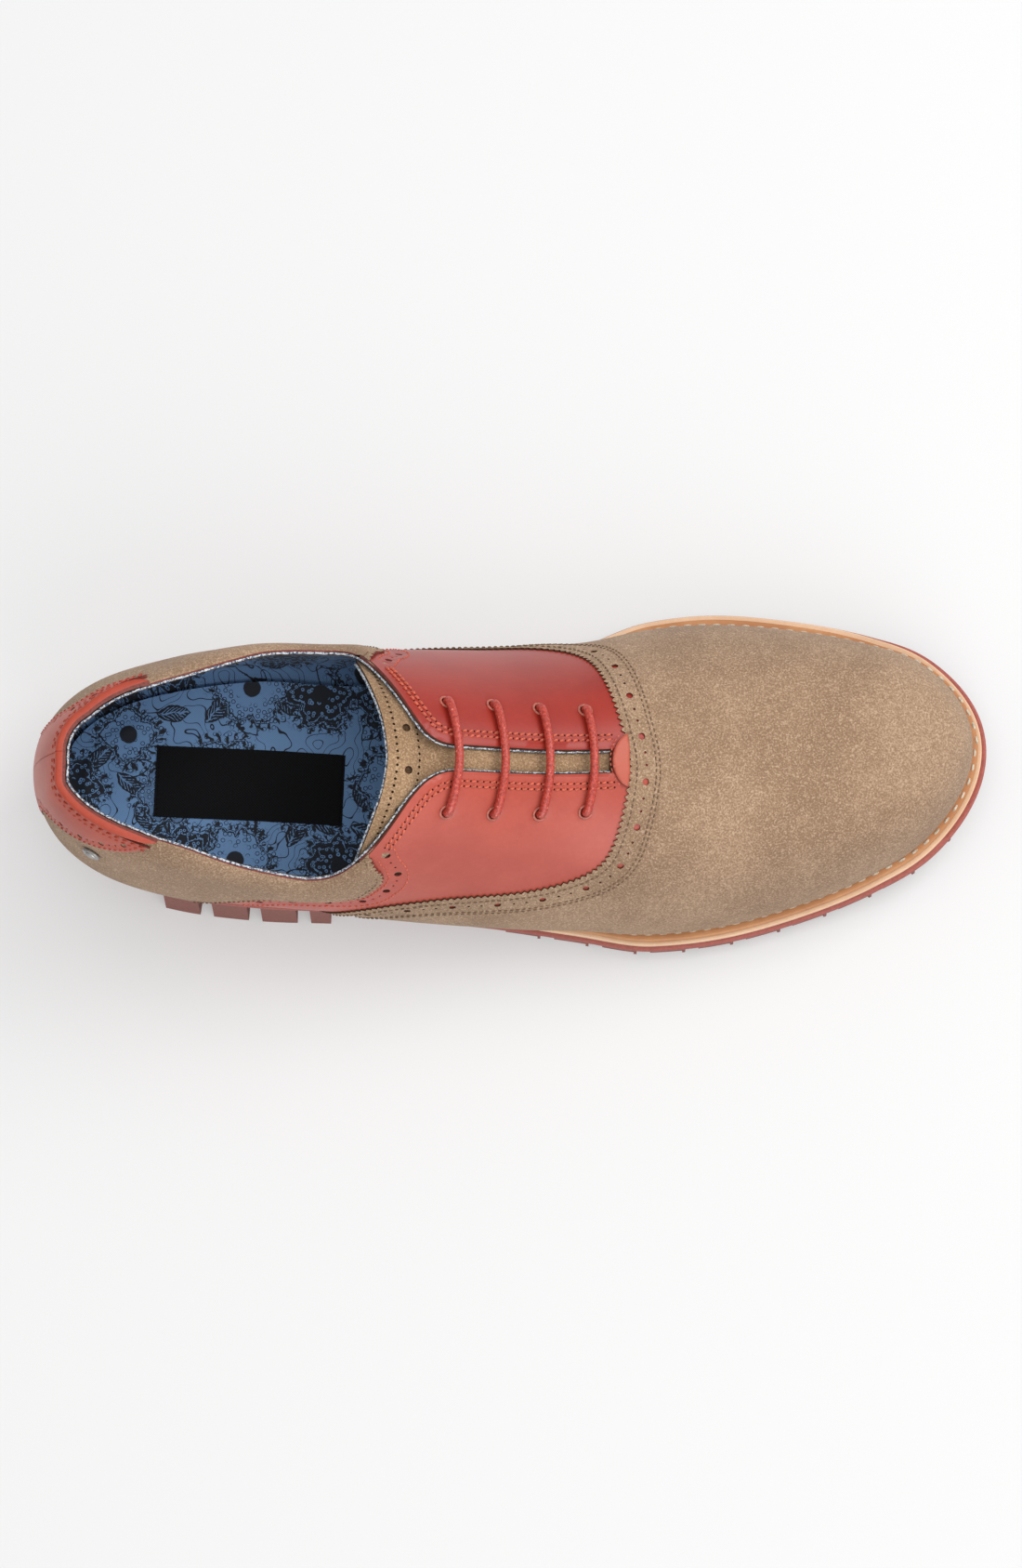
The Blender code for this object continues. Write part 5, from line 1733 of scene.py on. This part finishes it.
@dataclass(frozen=True)
class Backstay:
    """The leather stay round the heel and its rolled band along the collar."""

    back: float = 0.0004
    face: float = 0.0013
    roll: float = 0.0009
    roll_width: float = 0.0030
    tip_medial: float = 0.200
    tip_lateral: float = 0.222
    brogue: Brogue = Brogue(0.0014, 0.0034, 0.0060, 0.0, 0.0082, 0.0009, 0.00032)

    def line(self, side: int) -> Array:
        """Return the stay's lower edge on one side."""
        along = np.linspace(0.0, STAY_LINE[-1][0], 500)
        rise = np.maximum(read_rows(STAY_LINE, 1 if side == MEDIAL else 2, along), 0.0)
        path = on_side(along, rise, side)
        return softened(resample(path, 0.0008)[0], 16)

    def raised(self, along: Array, rise: Array) -> Array:
        """Return the depth of the stay's face, raised in a rolled band along the collar."""
        gap = below_opening(along, rise)
        band = self.roll * ease(gap, self.roll_width + 0.0009, self.roll_width)
        return self.face + band - 1.3 * self.roll * ease(gap, 0.0016, 0.0)

    def build(self, finishes: Finishes) -> None:
        """Build the stay, its band, holes and stitches."""
        build, band, sewn = Build(), Build(), Build()
        for side in (MEDIAL, LATERAL):
            edge = self.line(side)
            rise = side_rise(edge, side)
            edge = edge[rise < LAST.opening(edge[:, 0], side) - 0.014]
            low = toothed(edge, side, 0.0016, 0.0006)
            border = self.roll_width / 0.075
            split = low[low[:, 0] <= self.roll_end(edge, side)]
            along = np.linspace(float(split[-1, 0]), 0.0, 160)
            under = on_side(along, LAST.opening(along, side) - border, side)
            heel_rise = float(LAST.opening(np.array(0.0), side))
            tip = self.tip(side)
            heel = on_side(0.0, np.linspace(heel_rise - border, 0.0, 30)[1:-1], side)
            anchor = on_side(0.164, 0.40 if side == LATERAL else 0.52, side)
            holes = self.brogue.punched(edge[edge[:, 0] > 0.05], side, anchor, 0.12)
            holes = [hole for hole in holes if (below_opening(hole[:, 0], hole[:, 1]) > 0.0062).all()]
            loop = np.vstack([split, under[1:], heel])
            laid(build, Pattern.cut([loop], holes, 0.0014), self.back, self.raised, 0.0003)
            over_along = tip * (1 - np.linspace(1.0, 0.0, 200) ** 1.6)
            round_off = np.clip((tip - over_along) / 0.055, 0.0, 1.0) ** 0.6
            over = on_side(over_along, LAST.opening(over_along, side) - border * round_off, side)
            rim_along = np.linspace(tip, 0.0, 200)[1:]
            rim = on_side(rim_along, LAST.opening(rim_along, side) + 0.001, side)
            back = on_side(0.0, np.linspace(heel_rise, heel_rise - border, 8)[1:-1], side)
            rolled = Pattern.cut([np.vstack([over, rim, back])], (), 0.0007)
            laid(band, rolled, -0.0004, self.raised, 0.0002)
            top = opening_path(side, 0.0, float(split[-1, 0]))
            groove = beside(top, -side * (self.roll_width + 0.0006))
            stitch_row(sewn, groove, self.face + 0.0002, 0.0026, 0.00030, 0.35, 0.7)
            lower = beside(top, -side * (self.roll_width + 0.0022))
            stitch_row(sewn, lower, self.face, 0.0021, 0.00022, 0.0, 0.6)
            row = beside(edge, side * self.brogue.first)
            room = below_opening(row[:, 0], row[:, 1])
            row = row[(row[:, 0] > 0.05) & (room > 0.0045)]
            stitch_row(sewn, row, self.face, 0.0019, 0.00022, 0.0, 0.6)
        build.piece("backstay_leather", finishes.stay, Slot.LEATHER, "backstay", 40, finishes.leather_cut)
        band.piece("backstay_band", finishes.roll, Slot.LEATHER, "backstay", 50, finishes.leather_cut)
        sewn.piece("backstay_stitches", finishes.roll, Slot.LEATHER, "backstay")

    def tip(self, side: int) -> float:
        """Return the along value at which the rolled band ends."""
        return self.tip_medial if side == MEDIAL else self.tip_lateral

    def roll_end(self, edge: Array, side: int) -> float:
        """Return the along value at which the stay's lower edge meets the rolled band."""
        room = below_opening(edge[:, 0], edge[:, 1])
        return float(edge[room > self.roll_width][-1, 0])


BACKSTAY = Backstay()


@dataclass(frozen=True)
class Tongue:
    """The suede tongue under the lace, with a raw lining edge along its top."""

    medial_width: float = 0.0325
    lateral_width: float = 0.0285
    thickness: float = 0.0020
    depth: float = -0.0051
    top: float = 0.362
    front: float = 0.650
    curve: float = 0.030
    taper: float = 0.25
    crown: float = 0.0030
    lift: float = 0.0026

    def place(self, across: Array, down: Array) -> Array:
        """Return places on the chart from shares across, -1 to 1, and down, 0 to 1."""
        top = self.top - self.curve * across ** 2
        along = along_of(top + (self.front - top) * down)
        width = np.where(across > 0, self.medial_width, self.lateral_width)
        offset = np.abs(across) * width * (1.0 - self.taper * down)
        medial = LAST.rise_at_offset(along, offset, MEDIAL)
        lateral = 2 - LAST.rise_at_offset(along, offset, LATERAL)
        return np.stack([along, np.where(across > 0, medial, lateral)], -1)

    def outer(self, along: Array, rise: Array) -> Array:
        """Return the depth of its face, rising to the lining ahead of the throat."""
        station = station_of(along)
        seam = ease(station, LAST.throat_base - 0.012, LAST.throat_base + 0.015)
        crown = self.crown * np.exp(-((np.asarray(rise) - 1) / 0.13) ** 2) * ease(station, 0.400, 0.450)
        depth = self.depth + crown + self.lift * ease(station, 0.412, 0.385)
        return depth + (-0.0024 - depth) * seam

    def behind(self, gap: float) -> Depth:
        """Return the depth at a gap behind its face."""
        return lambda along, rise: self.outer(along, rise) - gap

    def build(self, finishes: Finishes) -> None:
        """Build the tongue, its raw edge and its perforations."""
        across = np.linspace(-1, 1, 61)
        down = np.linspace(0, 1, 90)
        ones = np.ones_like(down)
        loop = np.vstack([
            self.place(across, 0 * across),
            self.place(ones[1:-1], down[1:-1]),
            self.place(across[::-1], 0 * across + 1),
            self.place(-ones[1:-1], down[1:-1][::-1]),
        ])
        top = softened(self.place(across, 0 * across), 4)
        holes = [disc(place, 0.00135, 16) for place in along_row(beside(top, 0.0070), 0.0143)]
        for gap in (0.0032, 0.0106):
            holes += [disc(place, 0.00048, 8) for place in along_row(beside(top, gap), 0.0023)]
        holes = [hole for hole in holes if self.covers(hole, loop)]
        build = Build()
        laid(build, Pattern.cut([loop], holes, 0.0018), self.behind(0.0009), self.outer, 0.0002)
        build.piece("tongue_face", finishes.tongue, Slot.TONGUE, "tongue", 40, finishes.suede_edge_and_shade)
        # A dark sheet behind the face, seen through the perforations: painted shade in the holes.
        backing = Build()
        laid(backing, Pattern.cut([loop]), self.behind(0.0013), self.behind(0.00095))
        backing.piece("tongue_backing_painted_shade", finishes.suede_edge_and_shade, Slot.TONGUE, "tongue")
        lining = Build()
        laid(lining, Pattern.cut([loop]), self.behind(self.thickness), self.behind(0.00135))
        lining.piece("tongue_lining", finishes.cloth, Slot.TONGUE, "tongue")
        edge = Build()
        row, _ = resample(self.place(across, 0 * across), 0.0006)
        line = LAST.at(row, self.depth + self.lift - 0.0014)
        tube(edge, line, lambda run, angle: 0.00045 + 0.00006 * np.sin(9000 * run + 3 * angle), 8)
        edge.piece("tongue_edge", finishes.edge, Slot.TONGUE, "tongue")

    @staticmethod
    def covers(hole: Array, loop: Array) -> bool:
        """Return whether a hole lies wholly on the tongue."""
        wide = hole.mean(0) + 1.8 * (hole - hole.mean(0))
        return bool(inside(wide, loop).all())


@dataclass(frozen=True)
class Bottom:
    """The footbed, welt, midsole and outsole."""

    turns: int = 480
    bed: float = 0.0040
    bed_cup: float = 0.0024
    rim: float = 0.0028
    outsole: float = 0.0014
    groove: float = 0.0058
    lug_pitch: float = 0.0156
    lug_length: float = 0.0112
    lug_reach: float = 0.0130
    lug_start: float = 0.0341
    heel_flare: float = 0.0009
    nub: float = 0.0
    tread: float = 0.0035

    @staticmethod
    def station(turn: Array) -> Array:
        """Return the stations of turns."""
        turn = np.asarray(turn, float) % 2.0
        return station_of(np.where(turn <= 1.0, turn, 2.0 - turn))

    def thread_line(self, turn: Array) -> Array:
        """Return how far the welt's stitches lie outside the last's edge, most at the medial ball."""
        return 0.0006 + 0.0007 * ease(self.station(turn), 0.60, 0.68) * (np.asarray(turn) % 2.0 <= 1.0)

    def rubber_edge(self, turn: Array) -> Array:
        """Return how far the outsole stands out past the last's edge."""
        return SOLE.welt_edge(turn) + self.outsole

    def pale_edge(self, turn: Array) -> Array:
        """Return how far the pale midsole stands out."""
        station = self.station(turn)
        ahead = np.where(np.asarray(turn) % 2.0 <= 1.0, 0.0003, 0.0009)
        return self.rubber_edge(turn) - 0.0003 - ahead - (0.0014 - ahead) * ease(station, 0.84, 0.99)

    def tan_edge(self, turn: Array) -> Array:
        """Return how far the tan welt stands out."""
        medial = 0.0007 * (np.asarray(turn) % 2.0 <= 1.0) * ease(self.station(turn), 0.98, 0.90)
        return self.pale_edge(turn) - 0.0011 - medial - 0.0003 * ease(self.station(turn), 0.70, 0.95)

    def plate(self, x: Array) -> Array:
        """Return the height of the outsole's underside between the lugs."""
        return np.minimum(SOLE.tread(x) + self.tread, self.rim_floor(x) - 0.0012)

    def ring(self, edge: Curve | None, out: float, floor: Curve, lift: float) -> Array:
        """Return one ring of points round the shoe.

        Args:
            edge: Margin of the line that it follows, by turn. Without it that is the last's edge.
            out: How far it lies outside that line.
            floor: Height that it follows, by length from the heel.
            lift: How far it lies above that height.

        Returns:
            The points, in the CAD model's frame.
        """
        turn = np.arange(self.turns) * 2.0 / self.turns
        flat = SOLE.outline(turn, out if edge is None else edge(turn) + out)
        z = floor(SOLE.edge(turn)[:, 0]) + lift
        return np.concatenate([flat + np.array(HEEL_EDGE), z[:, None]], -1)

    def layer(self, build: Build, rings: Sequence[tuple], hollow: bool) -> None:
        """Add a layer.

        Args:
            build: What to add it to.
            rings: What each ring of points is made from, bottom first.
            hollow: Whether it is a closed strip with nothing in its middle.
        """
        n = self.turns
        points = np.vstack([self.ring(*ring) for ring in rings])
        order = list(range(len(rings))) + ([0] if hollow else [])
        faces = []
        for low, high in zip(order, order[1:]):
            for i in range(n):
                j = (i + 1) % n
                faces.append((low * n + j, low * n + i, high * n + i, high * n + j))
        if not hollow:
            half = n // 2
            for ring, way in ((0, 1), (len(rings) - 1, -1)):
                start = ring * n
                for i in range(half):
                    corners = [start + i, start + i + 1, start + (n - i - 1) % n, start + (n - i) % n]
                    corners = list(dict.fromkeys(corners))
                    if len(corners) > 2:
                        faces.append(tuple(corners[::way]))
        build.add(points, faces, points[:, :2] + 0.2)

    def build(self, finishes: Finishes) -> None:
        """Build every piece of the bottom."""
        self.footbed(finishes)
        self.label(finishes)
        self.strips(finishes)
        self.rubber(finishes)

    def footbed(self, finishes: Finishes) -> None:
        """Build the cupped, cloth-covered footbed."""
        edge, plug, low = -0.0021, -0.0073, SOLE.upper_floor
        rings = [(None, plug, SOLE.welt_floor, 0.0), (None, plug, low, 0.0), (None, edge, low, 0.0)]
        for share in np.linspace(0.0, 1.0, 12):
            drop = self.bed_cup * math.sin(share * math.pi / 2)
            swell = 0.0013 * math.exp(-((share - 0.55) / 0.16) ** 2)
            rings.append((None, edge - 0.015 * share, self.padded(swell), self.bed - drop))
        build = Build()
        self.layer(build, rings, False)
        build.piece("footbed", finishes.cloth, Slot.CLOTH, "insole", 50)

    @staticmethod
    def padded(swell: float) -> Curve:
        """Return the height under the footbed with a swell for the heel's pad."""
        return lambda x: SOLE.upper_floor(x) + swell * ease(x, 0.045, 0.020)

    @staticmethod
    def turned(flat: Array) -> Array:
        """Return ways in the plan turned as the label lies."""
        angle = math.radians(-2.5)
        return flat @ np.array([[math.cos(angle), math.sin(angle)], [-math.sin(angle), math.cos(angle)]])

    def on_footbed(self, flat: Array, lift: float) -> Array:
        """Return points over the footbed's middle from places round the label's own."""
        place = self.turned(flat) + np.array([0.0617, 0.0003])
        z = SOLE.upper_floor(place[:, 0]) + self.bed - self.bed_cup + lift
        return np.concatenate([place + np.array(HEEL_EDGE), z[:, None]], -1)

    def label(self, finishes: Finishes) -> None:
        """Build the plain sewn label on the heel of the footbed."""
        half_x, half_y, seat, thickness = 0.0298, 0.0114, 0.0001, 0.00035
        wide, deep = 25, 11
        size = wide * deep
        xs, ys = np.meshgrid(np.linspace(-half_x, half_x, wide), np.linspace(-half_y, half_y, deep))
        flat = np.stack([xs.ravel(), ys.ravel()], -1)
        points = np.vstack([self.on_footbed(flat, seat), self.on_footbed(flat, seat + thickness)])
        grid = np.arange(size).reshape(deep, wide)
        faces = []
        for a in grid[:-1, :-1].ravel():
            faces.append((a + size, a + 1 + size, a + wide + 1 + size, a + wide + size))
            faces.append((a, a + wide, a + wide + 1, a + 1))
        border = np.concatenate([grid[0], grid[1:, -1], grid[-1, -2::-1], grid[-2:0:-1, 0]])
        faces += [(a, b, b + size, a + size) for a, b in zip(border, np.roll(border, -1))]
        build, sewn = Build(), Build()
        build.add(points, faces, points[:, :2] + 0.3)
        build.piece("label", finishes.label, Slot.CLOTH, "insole")
        count = 15
        way = unit(np.append(self.turned(np.array([0.2, 1.0])), 0.0))
        for end in (-1, 1):
            ticks = np.linspace(-0.9, 0.9, count) * half_y
            spots = self.on_footbed(np.stack([np.full(count, end * (half_x - 0.0010)), ticks], -1), 0.0005)
            up = np.tile([0.0, 0.0, 1.0], (count, 1))
            threads(sewn, spots, np.tile(way, (count, 1)), up, 0.0011, 0.00022)
        sewn.piece("label_stitches", finishes.label, Slot.CLOTH, "insole")

    def strips(self, finishes: Finishes) -> None:
        """Build the welt with its stitches, and the pale midsole."""
        inner, top = -0.0070, 0.0024
        tan, pale, low, seat = self.tan_edge, self.pale_edge, SOLE.welt_floor, SOLE.outsole_top
        build = Build()
        self.layer(build, [
            (tan, 0.0, low, 0.0),
            (tan, 0.0, low, top - 0.0005),
            (tan, -0.0002, low, top - 0.0002),
            (tan, -0.0006, low, top),
            (tan, -0.0014, low, top - 0.0001),
            (None, inner, low, top - 0.0001),
            (None, inner, low, 0.0),
        ], True)
        build.piece("welt", finishes.welt, Slot.WELT, "welt")
        sewn = Build()
        turn = np.linspace(0.0, 2.0, 2400, endpoint=False)
        run = run_along(SOLE.outline(turn, self.thread_line(turn)))
        turns = np.interp(np.arange(0.0, run[-1], 0.0047), run, turn)
        flat = SOLE.outline(turns, self.thread_line(turns))
        ahead = SOLE.outline(turns + 0.002, 0.001) - SOLE.outline(turns - 0.002, 0.001)
        x = SOLE.edge(turns)[:, 0]
        keep = x / LAST.length > 0.42
        z = low(x) + top
        spots = np.concatenate([flat + np.array(HEEL_EDGE), z[:, None]], -1)[keep]
        ways = unit(np.concatenate([ahead, 0 * z[:, None]], -1))[keep]
        threads(sewn, spots, ways, np.tile([0.0, 0.0, 1.0], (len(spots), 1)), 0.0026, 0.00042)
        sewn.piece("welt_stitches", finishes.white_thread, Slot.WELT, "welt")
        build = Build()
        self.layer(build, [
            (pale, -0.0003, seat, SOLE.gap),
            (pale, 0.0, seat, SOLE.gap + 0.0003),
            (pale, 0.0, seat, SOLE.gap + 0.0018),
            (pale, -0.0004, seat, SOLE.gap + 0.0022),
        ], False)
        build.piece("midsole_edge", finishes.midsole, Slot.MIDSOLE, "midsole")

    def rubber(self, finishes: Finishes) -> None:
        """Build the outsole with its rim, groove and lugs."""
        edge, low, top = self.rubber_edge, self.rim_floor, SOLE.outsole_top
        build = Build()
        self.layer(build, [
            (edge, -self.groove - 0.0006, self.plate, 0.0),
            (edge, -self.groove, self.plate, 0.0006),
            (edge, -self.groove, low, -0.0003),
            (edge, -0.0005, low, 0.0),
            (edge, 0.0, low, 0.0005),
            (edge, 0.0, top, -0.0006),
            (edge, -0.0002, top, -0.0002),
            (edge, -0.0007, top, 0.0),
        ], False)
        self.lugs(build)
        self.bars(build)
        # Faces of kind 1, the lugs, take the darker rubber: painted shade.
        build.piece("outsole_rubber", finishes.rubber, Slot.RUBBER, "outsole", 30, finishes.tread)

    def rim_floor(self, x: Array) -> Array:
        """Return the height of the rim's lower face."""
        return SOLE.outsole_top(x) - self.rim

    def lugs(self, build: Build) -> None:
        """Add the lugs round the tread, with a small nub at the end of each one ahead of the heel."""
        for way in (1, -1):
            turn = np.linspace(0.0, 1.0, 1600) if way == 1 else np.linspace(2.0, 1.0, 1600)
            line = SOLE.outline(turn, self.rubber_edge(turn))
            run = run_along(line)
            anchor = float(np.interp(self.lug_start, line[:, 0], run))
            first = anchor - math.ceil(anchor / self.lug_pitch) * self.lug_pitch
            for start in np.arange(first, run[-1], self.lug_pitch):
                ends = np.clip([start, start + self.lug_length], 0.0, run[-1])
                if ends[1] - ends[0] < 0.002:
                    continue
                span = np.interp(ends, run, turn)
                x = float(SOLE.edge(np.array([span.mean()]))[0, 0])
                at_heel = x < SOLE.breast() - 0.001
                if not at_heel and x < LAST.length * 0.46:
                    continue
                if at_heel:
                    limit = float(np.interp(SOLE.breast() - 0.0005, line[:, 0], run))
                    span = np.interp(np.minimum(ends, limit), run, turn)
                flare = (self.heel_flare if x > 0.032 else -0.0032) if at_heel else -0.0006
                self.block(build, span, flare, self.lug_reach)
                if not at_heel:
                    nub = np.interp([ends[1] - 0.0009, ends[1]], run, turn)
                    self.block(build, nub, self.nub, 0.002)

    def block(self, build: Build, span: Array, flare: float, reach: float) -> None:
        """Add one lug.

        Args:
            build: What to add it to.
            span: Its first and last turn.
            flare: How far its foot stands out past the rim.
            reach: How far it runs in from the rim.
        """
        steps = 7
        turn = np.linspace(span[0], span[1], steps)
        x = SOLE.edge(turn)[:, 0]
        low, high = SOLE.tread(x), self.rim_floor(x) + 0.0002
        rings = []
        for margin, height in (
            (-reach, high), (-reach, low + 0.0008), (-reach + 0.0008, low),
            (flare - 0.0008, low), (flare, low + 0.0009), (min(flare, -0.0002) - 0.0002, high),
        ):
            flat = SOLE.outline(turn, self.rubber_edge(turn) + margin) + np.array(HEEL_EDGE)
            rings.append(np.concatenate([flat, height[:, None]], -1))
        rows = len(rings)
        faces = []
        for r in range(rows):
            s = (r + 1) % rows
            for i in range(steps - 1):
                faces.append((r * steps + i, r * steps + i + 1, s * steps + i + 1, s * steps + i))
        faces.append(tuple(r * steps for r in range(rows)))
        faces.append(tuple(r * steps + steps - 1 for r in range(rows))[::-1])
        if span[1] < span[0]:
            faces = [face[::-1] for face in faces]
        # All of a lug's faces take the second, darker rubber: painted shade.
        build.add(np.vstack(rings), faces, None, [1] * len(faces))

    def bars(self, build: Build) -> None:
        """Add the bars across the middle of the tread."""
        turn = np.linspace(0.0, 1.0, 800)
        inset = -self.lug_reach - 0.0030
        medial = SOLE.outline(turn, self.rubber_edge(turn) + inset)
        lateral = SOLE.outline(2 - turn, self.rubber_edge(2 - turn) + inset)
        centres = np.arange(self.lug_start + self.lug_length / 2, LAST.length - 0.018, self.lug_pitch)
        for centre in centres:
            if SOLE.breast() - 0.008 < centre < LAST.length * 0.46 or centre < 0.022:
                continue
            xs = centre + np.array([-0.5, 0.5]) * 0.0062
            x, y, z = [], [], []
            for bevel, lift in ((0.0009, 0.0), (0.0, 0.0009), (0.0, self.tread + 0.0008)):
                for u, v in ((0, 0), (1, 0), (1, 1), (0, 1)):
                    side = medial if v else lateral
                    here = xs[u] + (bevel if u == 0 else -bevel)
                    x.append(here)
                    y.append(float(np.interp(here, side[:, 0], side[:, 1])) + (-bevel if v else bevel))
                    z.append(float(SOLE.tread(np.array(here))) + lift)
            points = np.stack([np.array(x) + HEEL_EDGE[0], np.array(y) + HEEL_EDGE[1], np.array(z)], -1)
            build.add(points, wrapped(3, 4))


@dataclass(frozen=True)
class Stud:
    """The small plain metal stud on the lateral quarter."""

    along: float = 0.154
    rise: float = 0.250
    radius: float = 0.0030
    height: float = 0.0011

    def build(self, finishes: Finishes) -> None:
        """Build the domed stud."""
        place = on_side(self.along, self.rise, LATERAL)[None]
        base = LAST.at(place, 0.0011)[0]
        normal = LAST.normal(place[:, 0], place[:, 1])[0]
        turned = Vector(normal).to_track_quat("Z", "Y").to_matrix()
        profile = ((1.0, 0.0), (1.0, 0.35), (0.9, 0.62), (0.66, 0.70), (0.60, 0.92), (0.30, 1.0))
        sides = 36
        angle = np.linspace(0, 2 * np.pi, sides, endpoint=False)
        circle = np.stack([np.cos(angle), np.sin(angle), 0 * angle], -1) * self.radius
        rings = [circle * reach + [0.0, 0.0, lift * self.height] for reach, lift in profile]
        build = Build()
        build.add(np.vstack(rings) @ np.array(turned).T + base, wrapped(len(rings), sides))
        build.piece("stud", finishes.metal, Slot.METAL, "stud")


UPPER = Upper()


@dataclass(frozen=True)
class Studio:
    """The pale floor, the soft lights and the camera."""

    tilt: float = 10.0
    distance: float = 1.8
    aim: tuple[float, float, float] = (0.1445, -0.0008, 0.040)
    lens: float = 201.3

    def build(self) -> None:
        """Build the whole studio."""
        self.floor()
        self.lights()
        self.camera()

    def floor(self) -> None:
        """Lay the floor."""
        data = bpy.data.meshes.new("floor")
        size = 4.0
        corners = [(-size, -size, 0), (size, -size, 0), (size, size, 0), (-size, size, 0)]
        data.from_pydata(corners, [], [(0, 1, 2, 3)])
        made = bpy.data.objects.new("floor", data)
        bpy.context.scene.collection.objects.link(made)
        paper = Finish("paper", 0.9, Specular_IOR_Level=0.1, Emission_Strength=0.305)
        paper.colour((0.50, 0.50, 0.50))
        paper.shader.inputs["Emission Color"].default_value = (1.0, 1.0, 1.0, 1.0)
        data.materials.append(paper.material)

    def light(self, name: str, place: Sequence[float], size: float, power: float) -> bpy.types.Object:
        """Hang one square soft light and return it."""
        data = bpy.data.lights.new(name, "AREA")
        data.size = size
        data.energy = power
        made = bpy.data.objects.new(name, data)
        made.location = place
        made.rotation_euler = (Vector((0, 0, 0.03)) - Vector(place)).to_track_quat("-Z", "Y").to_euler()
        bpy.context.scene.collection.objects.link(made)
        return made

    def lights(self) -> None:
        """Hang the lights and set the pale surroundings."""
        scene = bpy.context.scene
        scene.view_settings.view_transform = "Standard"
        world = bpy.data.worlds.new("studio")
        world.use_nodes = True
        shade = world.node_tree.nodes["Background"]
        shade.inputs["Color"].default_value = (1.0, 1.0, 1.0, 1.0)
        shade.inputs["Strength"].default_value = 0.60
        scene.world = world
        self.light("key", (0.80, 0.45, 1.05), 0.8, 9.0)
        self.light("top", (-0.05, 0.10, 1.50), 1.1, 6.0)
        self.light("fill", (0.45, -0.95, 0.95), 1.0, 5.5)
        self.light("gloss", (0.10, -1.40, 0.60), 1.3, 14.0).visible_diffuse = False

    def camera(self) -> None:
        """Set the camera over the shoe."""
        tilt = math.radians(self.tilt)
        aim = Vector(self.aim) + Vector((*HEEL_EDGE, 0.0))
        data = bpy.data.cameras.new("camera")
        data.sensor_fit = "HORIZONTAL"
        data.sensor_width = 36.0
        data.lens = self.lens
        data.clip_end = 20.0
        made = bpy.data.objects.new("camera", data)
        made.location = aim + Vector((0.0, -math.sin(tilt), math.cos(tilt))) * self.distance
        made.rotation_euler = (tilt, 0.0, 0.0)
        bpy.context.scene.collection.objects.link(made)
        bpy.context.scene.camera = made


def main() -> None:
    """Build the studio and every piece of the shoe."""
    logging.basicConfig(level=logging.INFO, format="%(message)s")
    Studio().build()
    finishes = Finishes()
    for assembly in (UPPER, Saddle(), BACKSTAY, Tongue(), LACING, Bottom(), Stud()):
        log.info("building %s", type(assembly).__name__)
        assembly.build(finishes)


if __name__ == "__main__":
    main()
